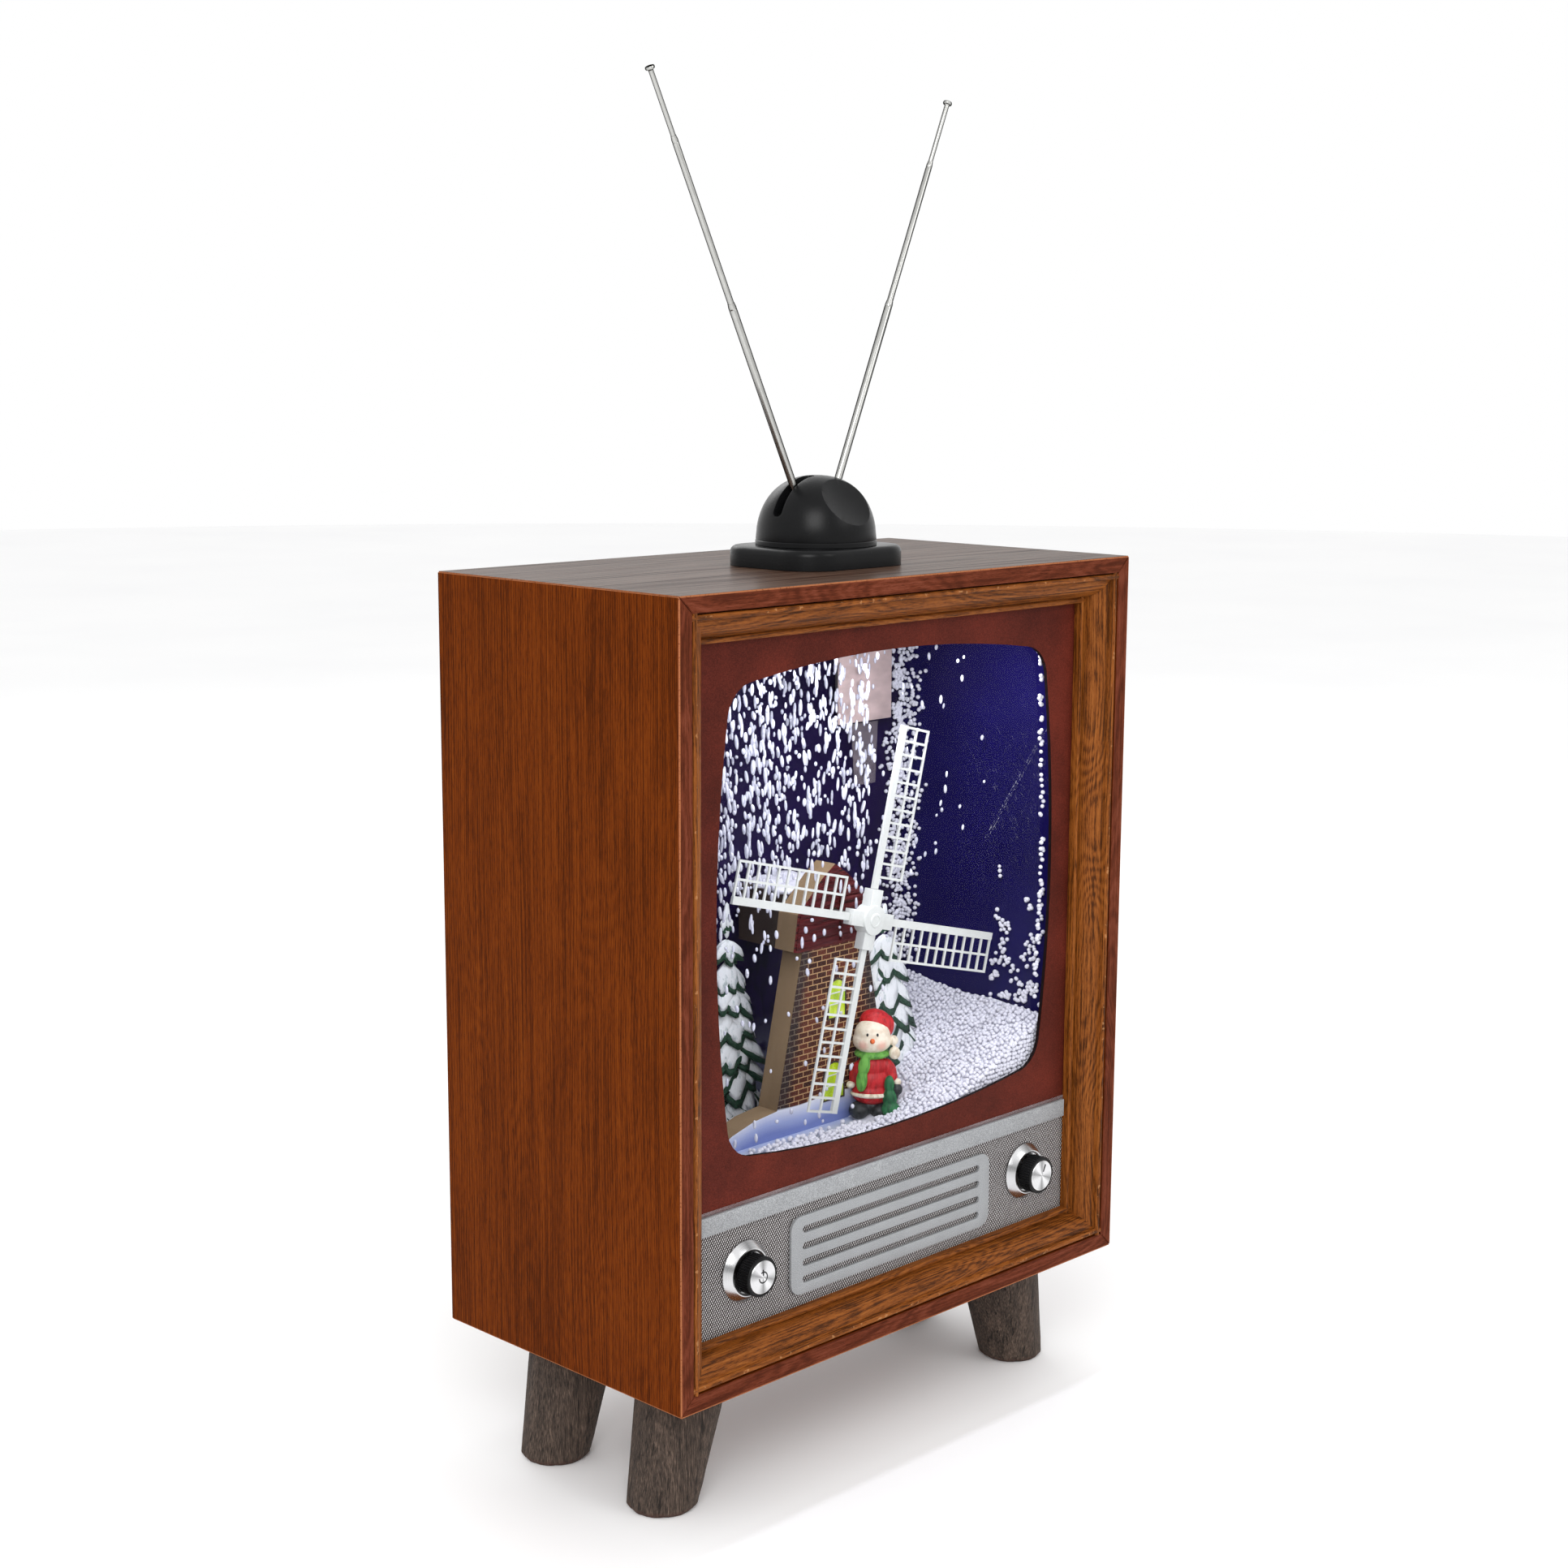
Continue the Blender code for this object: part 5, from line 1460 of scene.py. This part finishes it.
class BuildSnowman(bpy.types.Operator):
    """Sculpt the snowman figure from soft lumps"""

    bl_idname = "display.build_snowman"
    bl_label = "Snowman"

    def execute(self, context):
        groups = {
            "snowman_boots": ("boot_black", "black", [
                (-8.5, -3, 6.0, 7.2, 8.0, 6.2), (5.5, -2, 5.5, 6.6, 7.6, 5.6),
                (-1.5, 1, 8.5, 10, 6.5, 6.0)]),
            "snowman_coat": ("coat_red", "red", [
                (0, 0, 18, 14.0, 9.5, 9.0), (0, 0, 27, 12.5, 9.0, 10.0), (0, 0, 37, 10.5, 8.0, 9.0),
                (12.0, -1, 35, 4.6, 4.6, 8.0, -24), (13.5, -2, 29, 4.2, 4.2, 5.5, 20),
                (-10.5, -1, 33, 4.4, 4.6, 9.0, 22)]),
            "snowman_hem": ("fleece_cream", "white", [
                (0, -0.5, 17.5, 15.0, 10.6, 3.0), (-14.5, -3, 24, 3.2, 3.4, 2.6),
                (17.5, -3.5, 26.5, 3.0, 3.0, 2.6, 30)]),
            "snowman_scarf": ("scarf_green", "green", [
                (0, -0.5, 46, 12.5, 10.5, 4.0), (-5.5, -9.2, 39, 4.2, 2.4, 7.5, 8),
                (-7.0, -9.4, 29, 4.0, 2.2, 8.5, 4)]),
            "snowman_head": ("face_cream", "white", [
                (0, -0.5, 59, 12.6, 11.0, 12.0), (0, -1.2, 55.5, 13.6, 11.2, 9.4)]),
            "snowman_hat": ("coat_red", "red", [
                (2.5, 3.5, 67, 11.5, 9.5, 9.2, 12), (9.5, 3.5, 63, 5.5, 6.0, 9.0, 16)]),
            "snowman_bobble": ("fleece_cream", "white", [
                (14.5, -1.5, 55.5, 3.6, 3.6, 3.6), (15.5, -3.5, 47.0, 4.0, 3.6, 4.6)]),
            "snowman_mitten": ("boot_black", "black", [
                (17.5, -5, 21.5, 3.8, 3.8, 4.2), (15.5, -6, 17.0, 3.0, 3.2, 4.0)]),
            "snowman_toy_fir": ("toy_fir_green", "green", [
                (13.0, -7.5, 8.0, 6.5, 4.6, 6.0), (12.5, -7.0, 16.0, 5.2, 4.0, 6.5),
                (12.0, -6.5, 25.0, 3.6, 3.2, 7.0)]),
        }
        for name, (look, slot, lumps) in groups.items():
            item = meld(name, [lump(*values) for values in lumps], 0.55 * MM)
            fit(item, look, "cabinet")
        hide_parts("snowman")
        ahead = figure_point(0, -1, 0) - figure_point(0, 0, 0)
        nose = lathe("snowman_nose", [(0, -2), (2.0, -1.5), (2.1, 0), (1.3, 1.6), (0.6, 2.8),
                                      (0, 3.2)], 20, facing(figure_point(0, -11.2, 57.2), ahead))
        fit(nose, "carrot_orange", "cabinet")
        eyes = [ball(figure_point(x, -10.4, 61.5), (0.85 * MM, 0.85 * MM, 1.2 * MM))
                for x in (-3.4, 3.4)]
        fit(meld("snowman_eyes", eyes, 0.15 * MM, 1), "boot_black", "cabinet")
        return {"FINISHED"}


# ------------------------------------------------------------------ firs
def build_fir(name, place, top, spread, flatness, seed):
    """Snow-laden fir: rings of drooping boughs, dark needles under thicker snow."""
    draw = random.Random(seed)
    shapes = {"needles": [], "snow": []}
    height = top - place[2]
    tiers, wide = 10, 0.34
    for tier in range(tiers):
        share = tier / (tiers - 1)
        reach = spread * (1.0 - share * 0.97) ** 0.6
        count = int(15 - 8 * share)
        for index in range(count):
            angle = math.tau * (index + draw.uniform(-0.2, 0.2)) / count + tier * 0.7
            length = reach * draw.uniform(0.88, 1.08)
            droop = math.radians(draw.uniform(36, 50))
            level = place[2] + height * (0.10 + 0.83 * share) + draw.uniform(-1, 1) * MM
            bough = (Matrix.Translation((place[0], place[1], level))
                     @ sized(1.0, flatness, 1.0) @ Matrix.Rotation(angle, 4, "Z")
                     @ Matrix.Rotation(droop, 4, "Y"))
            shapes["needles"].append(
                bough @ Matrix.Translation((length * 0.56, 0, -2.6 * MM))
                @ sized(length * 0.60, length * wide, 3.0 * MM))
            shapes["snow"].append(
                bough @ Matrix.Translation((length * 0.50, 0, 0))
                @ sized(length * 0.54, length * (wide - 0.05), 3.6 * MM))
    spire = Matrix.Translation((place[0], place[1], top - height * 0.07))
    shapes["snow"].append(spire @ sized(3.5 * MM, 3.5 * MM * flatness, height * 0.08))
    made = []
    for part, look in (("needles", "fir_needles"), ("snow", "fir_snow")):
        bough = begin("bough", bpy.ops.mesh.primitive_uv_sphere_add, segments=10, ring_count=6,
                      radius=1.0)
        choose(bough, "VERT", lambda co: co.x > 0.55)
        bpy.ops.transform.resize(value=(1.0, 0.55, 0.6))
        close()
        made.append(strew(f"{name}_{part}", bough, shapes[part]))
        fit(made[-1], look, "cabinet")
    return made


class BuildFirs(bpy.types.Operator):
    """Model the two snow-laden firs"""

    bl_idname = "display.build_firs"
    bl_label = "Firs"

    def execute(self, context):
        right = build_fir("fir_behind_snowman", (0.076, -0.012, FLOOR + 12 * MM), up(258), 0.072,
                          0.12, 4)
        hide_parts("fir_right")
        build_fir("fir_at_left", (-0.033, 0.034, FLOOR - 2 * MM), up(268), 0.058, 0.38, 9)
        return {"FINISHED"}


# ------------------------------------------------------------------ snow
RIDGE, SLOPE = 0.067, 0.43      # height of the drift at the right wall, and its fall to the left


def heap_height(x, y):
    """Height of the drift above the chamber's floor."""
    rise_to_back = 0.006 * (y + 0.074) / 0.134
    drift = RIDGE + rise_to_back - SLOPE * (WALL - x)
    bumps = noise.noise(Vector((x * 45, y * 45, 0.3))) * 3.0 * MM
    layer = 3.5 * MM + noise.noise(Vector((x * 60, y * 60, 4.0))) * 1.6 * MM
    near_window = min(1.0, max(0.0, (-0.062 - y) / 0.010))
    return max(layer + 4.5 * MM * near_window, drift + bumps)


def bead_shape(diameter):
    """A foam bead with a few dozen faces."""
    bead = begin("bead", bpy.ops.mesh.primitive_uv_sphere_add, segments=8, ring_count=5,
                 radius=diameter / 2)
    choose(bead, "VERT", lambda co: abs(co.z) < diameter * 0.2)
    bpy.ops.transform.resize(value=(1.03, 1.03, 1.0))
    close()
    return bead


def scattered(points, draw):
    """A turned and slightly sized place at each point."""
    places = []
    for point in points:
        size = draw.uniform(0.90, 1.12)
        places.append(Matrix.Translation(point) @ Matrix.Rotation(draw.uniform(0, 3), 4, "X")
                      @ sized(size, size, size))
    return places


def in_tower(x, y):
    """Whether a place on the floor is under the tower."""
    return TOWER[0].x < x < TOWER[1].x and TOWER[0].y - MM < y < TOWER[1].y + MM


# Where the snow lies and flies: front and back of the chamber, and its side walls
SNOW_FRONT, SNOW_BACK = GLASS + 0.6 * MM, BACK_WALL - 1.0 * MM
SNOW_LEFT, SNOW_RIGHT = -WALL + MM, WALL - MM


def build_drift(size):
    """The solid drift under the beads, clear of those that lie against the window."""
    front = SNOW_FRONT + size * 1.1
    drift = begin("snow_drift", bpy.ops.mesh.primitive_grid_add, x_subdivisions=60,
                  y_subdivisions=30, size=1.0)
    put(drift, Matrix.Translation(((SNOW_LEFT + SNOW_RIGHT) / 2, (front + SNOW_BACK) / 2, 0))
        @ sized(SNOW_RIGHT - SNOW_LEFT, SNOW_BACK - front, 1.0))
    for vertex in drift.data.vertices:
        vertex.co.z = FLOOR + heap_height(vertex.co.x, vertex.co.y) - size * 0.5
    edit(drift)
    bpy.ops.mesh.extrude_region_move(TRANSFORM_OT_translate={"value": (0, 0, -0.3)})
    bpy.ops.transform.resize(value=(1, 1, 0), center_override=(0, 0, FLOOR + 0.2 * MM))
    tidy_faces()
    close()
    # The drift is a little greyer than the beads: painted shade in the gaps between them.
    fit(soften(drift, 40), "packed_snow", "cabinet", ["snow_heap"])


def covered(x, y, size, draw):
    """Height of a bead over the chamber's floor at a place, or None where there is none."""
    sparse = x < 0.02 and y > -0.062
    surface = heap_height(x, y)
    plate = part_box("scenic_base")
    if plate[0].x < x < plate[1].x and plate[0].y < y < plate[1].y:
        surface = max(surface, 6 * MM + draw.uniform(0.4, 0.9) * size)
        bare = surface < 9.5 * MM and draw.random() < (y + 0.044) / 0.018
        if bare or (0.022 < x < 0.070 and y > -0.044):
            return None
    elif sparse and draw.random() < 0.75:
        return None
    if x > SNOW_RIGHT - size / 2 or in_tower(x, y):
        return None
    return surface


def lying_beads(size, draw):
    """Places of the beads on the drift, and of those that lie against the window."""
    step = size * 0.95
    top, front = [], []
    for row in range(int((SNOW_BACK - SNOW_FRONT) / step)):
        for column in range(int((SNOW_RIGHT - SNOW_LEFT) / step)):
            x = SNOW_LEFT + (column + 0.5 * (row % 2) + draw.uniform(-0.3, 0.3)) * step
            y = SNOW_FRONT + (row + 0.5 + draw.uniform(-0.3, 0.3)) * step
            surface = covered(x, y, size, draw)
            if surface is not None:
                top.append(Vector((x, y, FLOOR + surface + draw.uniform(-0.7, 0.7) * MM)))
    x = SNOW_LEFT + size
    while x < SNOW_RIGHT - size / 2:
        z = FLOOR + size * 0.4
        while z < FLOOR + heap_height(x, SNOW_FRONT) - size * 0.4:
            front.append(Vector((x + draw.uniform(-0.3, 0.3) * size, SNOW_FRONT + size * 0.5,
                                 z + draw.uniform(-0.2, 0.2) * size)))
            z += step
        x += step
    return top, front


def stuck_beads(size, draw):
    """Places of the beads that cling to the right corner, the right wall and the window."""
    stuck = []
    for _ in range(900):
        z = up(188) + (CEILING - up(190)) * draw.random() ** 0.85
        across = min(0.024, abs(draw.gauss(0, 0.009)))
        if draw.random() < 0.55:
            stuck.append(Vector((WALL - across - size / 2, BACK_WALL - size / 2, z)))
        else:
            stuck.append(Vector((WALL - size / 2, BACK_WALL - size / 2 - across, z)))
    for _ in range(420):
        z = up(180) + 0.10 * draw.random() ** 1.8
        y = draw.uniform(-0.080, -0.030)
        if noise.noise(Vector((y * 110, z * 75, 1.7))) > 0.08 + (z - up(185)) * 1.6:
            stuck.append(Vector((WALL - size / 2, y, z)))
    for _ in range(80):
        z = up(190) + (up(445) - up(190)) * draw.random() ** 1.2
        stuck.append(Vector((0.1605 - abs(z - up(292)) * 0.05 + draw.gauss(0, 0.0012),
                             SNOW_FRONT + size * 0.4, z)))
    return stuck


def falling_beads(count, draw):
    """Places of the beads in the air: most at the left, some at the right and some low."""
    dense, right = 0.90, 0.95
    flying = []
    for index in range(count):
        y = draw.uniform(-0.040, 0.052)
        share = index / count
        if share < dense:
            across = -0.222 + 0.194 * draw.random() ** 1.25
            z = up(250) + (up(462) - up(250)) * draw.random() ** 0.85
        elif share < right:
            across = draw.uniform(-0.03, 0.12)
            z = up(250) + (up(455) - up(250)) * draw.random()
        else:
            across = draw.uniform(-0.20, 0.0)
            z = up(125) + (up(262) - up(125)) * draw.random()
            y = draw.uniform(-0.040, -0.026)
        x = (across + 1.33 * (y + 0.0903)) / 1.23
        if abs(x) > WALL - 4 * MM or (z < up(290) and in_tower(x, y)):
            continue
        lean = math.radians(draw.gauss(0, 7) + (x - 0.02) * 60)
        long = draw.uniform(1.0, 4.4) if share < dense else draw.uniform(1.0, 2.6)
        thin = draw.uniform(0.55, 0.95)
        flying.append(Matrix.Translation((x, y, z)) @ Matrix.Rotation(lean, 4, "Y")
                      @ sized(thin, thin, thin * long))
    return flying


class BuildSnow(bpy.types.Operator):
    """Model the drift, the beads on it, those stuck to the walls and those in the air"""

    bl_idname = "display.build_snow"
    bl_label = "Snow"

    def execute(self, context):
        draw = random.Random(11)
        snow = context.scene.display_snow
        build_drift(snow.bead)
        top, front = lying_beads(snow.bead, draw)
        behind = -0.02      # Y that parts the beads at the back from those in the middle
        for part, kept in (("back", [p for p in top if p.y > behind]),
                           ("middle", [p for p in top if p.y <= behind]), ("front", front)):
            spots = strew(f"snow_beads_{part}", bead_shape(snow.bead), scattered(kept, draw))
            fit(spots, "foam_snow", "cabinet")
        small = snow.bead * 0.92
        spots = strew("snow_beads_stuck", bead_shape(small),
                      scattered(stuck_beads(snow.bead, draw), draw))
        fit(spots, "foam_snow", "cabinet")
        flying = falling_beads(snow.falling, draw)
        fit(strew("snow_beads_falling", bead_shape(snow.bead), flying), "falling_snow",
            "cabinet")
        lumps = [ball((AXLE.x + x, y, up(277) + 1 * MM), (0.011, 0.010, 0.0035))
                 for x, y in ((-0.018, 0.008), (-0.004, 0.012), (0.010, 0.008), (-0.016, 0.028),
                              (0.0, 0.030), (0.016, 0.026), (-0.008, 0.038), (0.012, 0.038))]
        fit(meld("snow_on_motor", lumps, 0.9 * MM), "foam_snow", "cabinet")
        return {"FINISHED"}


# ------------------------------------------------------------------ inside and back
class BuildWorks(bpy.types.Operator):
    """Finish the blower, duct, speaker and control board inside the cabinet"""

    bl_idname = "display.build_works"
    bl_label = "Works"

    def execute(self, context):
        dress("knob_black", "fan_housing")
        dress("fan_grey", "fan_impeller")
        dress("steel_plain", "fan_motor", "speaker_frame")
        dress("duct_milky", "snow_duct")
        dress("cone_paper", "speaker_cone")
        dress("circuit_board", "control_board")
        return {"FINISHED"}


class BuildBack(bpy.types.Operator):
    """Finish the back panel and model its screws and inlet"""

    bl_idname = "display.build_back"
    bl_label = "Back"

    def execute(self, context):
        panel = ease(copy_node("back_panel", "vented_back_panel"), 0.35 * MM, 2, 40)
        fit(soften(panel), "hardboard", "cabinet", ["back_panel"])
        low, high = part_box("back_panel")
        heads = []
        spots = [(x, z) for x in (-0.190, 0.0, 0.190) for z in (low.z + 0.012, high.z - 0.012)]
        spots += [(x, MIDDLE) for x in (-0.190, 0.190)]
        for index, (x, z) in enumerate(spots):
            profile = [(0, -1.5), (3.4, -0.1), (3.5, 0.2), (2.9, 1.0), (1.6, 1.45), (0, 1.55)]
            head = lathe("head", profile, 24, facing((x, high.y, z), (0, 1, 0)))
            for turn in (0, 90):
                place = (Matrix.Translation((x, high.y + 1.6 * MM, z))
                         @ Matrix.Rotation(math.radians(turn + 17 * index), 4, "Y"))
                cut(head, block("blade", place, (3.4, 1.8, 0.6)))
            heads.append(soften(head, 30))
        fit(join("back_screws", heads), "screw_zinc", "cabinet")
        inlet_low, inlet_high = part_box("dc_inlet")
        middle = (inlet_low + inlet_high) / 2
        profile = [(3.4, 1.3), (3.7, 1.6), (8.4, 1.6), (8.9, 1.2), (9.0, 0.4), (6.3, 0.3),
                   (6.3, -13.0), (0, -13.0), (0, -11.0), (3.4, -11.0)]
        place = facing((middle.x, inlet_high.y - 1.6 * MM, middle.z), (0, 1, 0))
        ring = lathe("inlet_collar", profile, 40, place, ring=True)
        fit(ring, "knob_black", "cabinet", ["dc_inlet"])
        pin = lathe("inlet_pin", [(0, -11.2), (1.0, -11.2), (1.0, -1.2), (0.7, -0.6), (0, -0.4)],
                    20, place)
        fit(pin, "brass_turned", "cabinet")
        return {"FINISHED"}


# ------------------------------------------------------------------ stage
CAMERA_PLACE = (-1.17672, -1.14776, 0.72610)
CAMERA_HEADING, CAMERA_DIP, CAMERA_ROLL = (math.radians(angle)
                                           for angle in (-45.40274, 9.89924, 0.25633))
SENSOR, LENS = 36.0, 56.905    # millimetres


class BuildStage(bpy.types.Operator):
    """Make the pale floor, the soft lights and the camera"""

    bl_idname = "display.build_stage"
    bl_label = "Stage"

    def execute(self, context):
        floor = begin("stage_floor", bpy.ops.mesh.primitive_circle_add, vertices=96, radius=9.0,
                      fill_type="NGON")
        look = Look("stage_floor_paint")
        tone = look.ramp(look.noise(1.5, 3.0), (0.3, (0.93, 0.93, 0.935)),
                         (0.7, (0.96, 0.96, 0.96)))
        floor.data.materials.append(look.done(look.shader({"Base Color": tone, "Roughness": 0.75})))
        put(floor, Matrix.Translation((0, 0, -0.2 * MM)))

        world = bpy.data.worlds.new("stage_world")
        context.scene.world = world
        world.use_nodes = True
        background = world.node_tree.nodes["Background"]
        background.inputs["Color"].default_value = (1.0, 1.0, 1.0, 1.0)
        background.inputs["Strength"].default_value = 1.0

        lights = (("key_softbox", (-2.2, -1.9, 2.2), 1.6, 50.0),
                  ("fill_softbox", (0.9, -2.9, 2.3), 1.4, 14.0),
                  ("rear_softbox", (0.8, 2.4, 2.2), 1.6, 14.0))
        aim = Vector((0, 0, 0.35))
        for name, at, size, power in lights:
            light = area_light(name, at, size, power)
            light.rotation_euler = (aim - Vector(at)).to_track_quat("-Z", "Y").to_euler()

        only(None)
        bpy.ops.object.camera_add(location=CAMERA_PLACE)
        camera = context.object
        camera.name = "stage_camera"
        turn = (Matrix.Rotation(CAMERA_HEADING, 4, "Z")
                @ Matrix.Rotation(math.pi / 2 - CAMERA_DIP, 4, "X")
                @ Matrix.Rotation(CAMERA_ROLL, 4, "Z"))
        camera.rotation_euler = turn.to_euler()
        camera.data.sensor_width = SENSOR
        camera.data.lens = LENS
        camera.data.clip_start = 0.02
        camera.data.clip_end = 60.0
        context.scene.camera = camera
        context.scene.view_settings.view_transform = "Standard"
        return {"FINISHED"}


STEPS = (BuildStage, BuildCabinet, BuildLegs, BuildMoulding, BuildFront, BuildKnobs,
         BuildAntennaBase, BuildRods, BuildChamber, BuildWindmill, BuildSnowman, BuildFirs,
         BuildSnow, BuildWorks, BuildBack)


class DisplayPanel(bpy.types.Panel):
    """Settings and steps of the television display"""

    bl_idname = "VIEW3D_PT_display"
    bl_label = "Television display"
    bl_space_type = "VIEW_3D"
    bl_region_type = "UI"
    bl_category = "Display"

    def draw(self, context):
        layout = self.layout
        for group, fields in SETTINGS.items():
            holder = getattr(context.scene, group)
            box = layout.box()
            for field in fields:
                box.prop(holder, field)
        for step in STEPS:
            layout.operator(step.bl_idname)


SETTINGS = {
    "display_cabinet": ("veneer", "edge_band", "oak", "fascia", "leg", "grain_pitch"),
    "display_trim": ("silver", "black", "cloth_pitch", "knob_ribs"),
    "display_snow": ("bead", "falling", "night", "lamp_power"),
}
CLASSES = (CabinetSettings, TrimSettings, SnowSettings, *STEPS, DisplayPanel)


def register():
    for item in CLASSES:
        bpy.utils.register_class(item)
    bpy.types.Scene.display_cabinet = PointerProperty(type=CabinetSettings)
    bpy.types.Scene.display_trim = PointerProperty(type=TrimSettings)
    bpy.types.Scene.display_snow = PointerProperty(type=SnowSettings)


def unregister():
    del bpy.types.Scene.display_snow
    del bpy.types.Scene.display_trim
    del bpy.types.Scene.display_cabinet
    for item in reversed(CLASSES):
        bpy.utils.unregister_class(item)


def main():
    register()
    for step in STEPS:
        group, name = step.bl_idname.split(".")
        getattr(getattr(bpy.ops, group), name)()
    only(None)


if __name__ == "__main__":
    main()
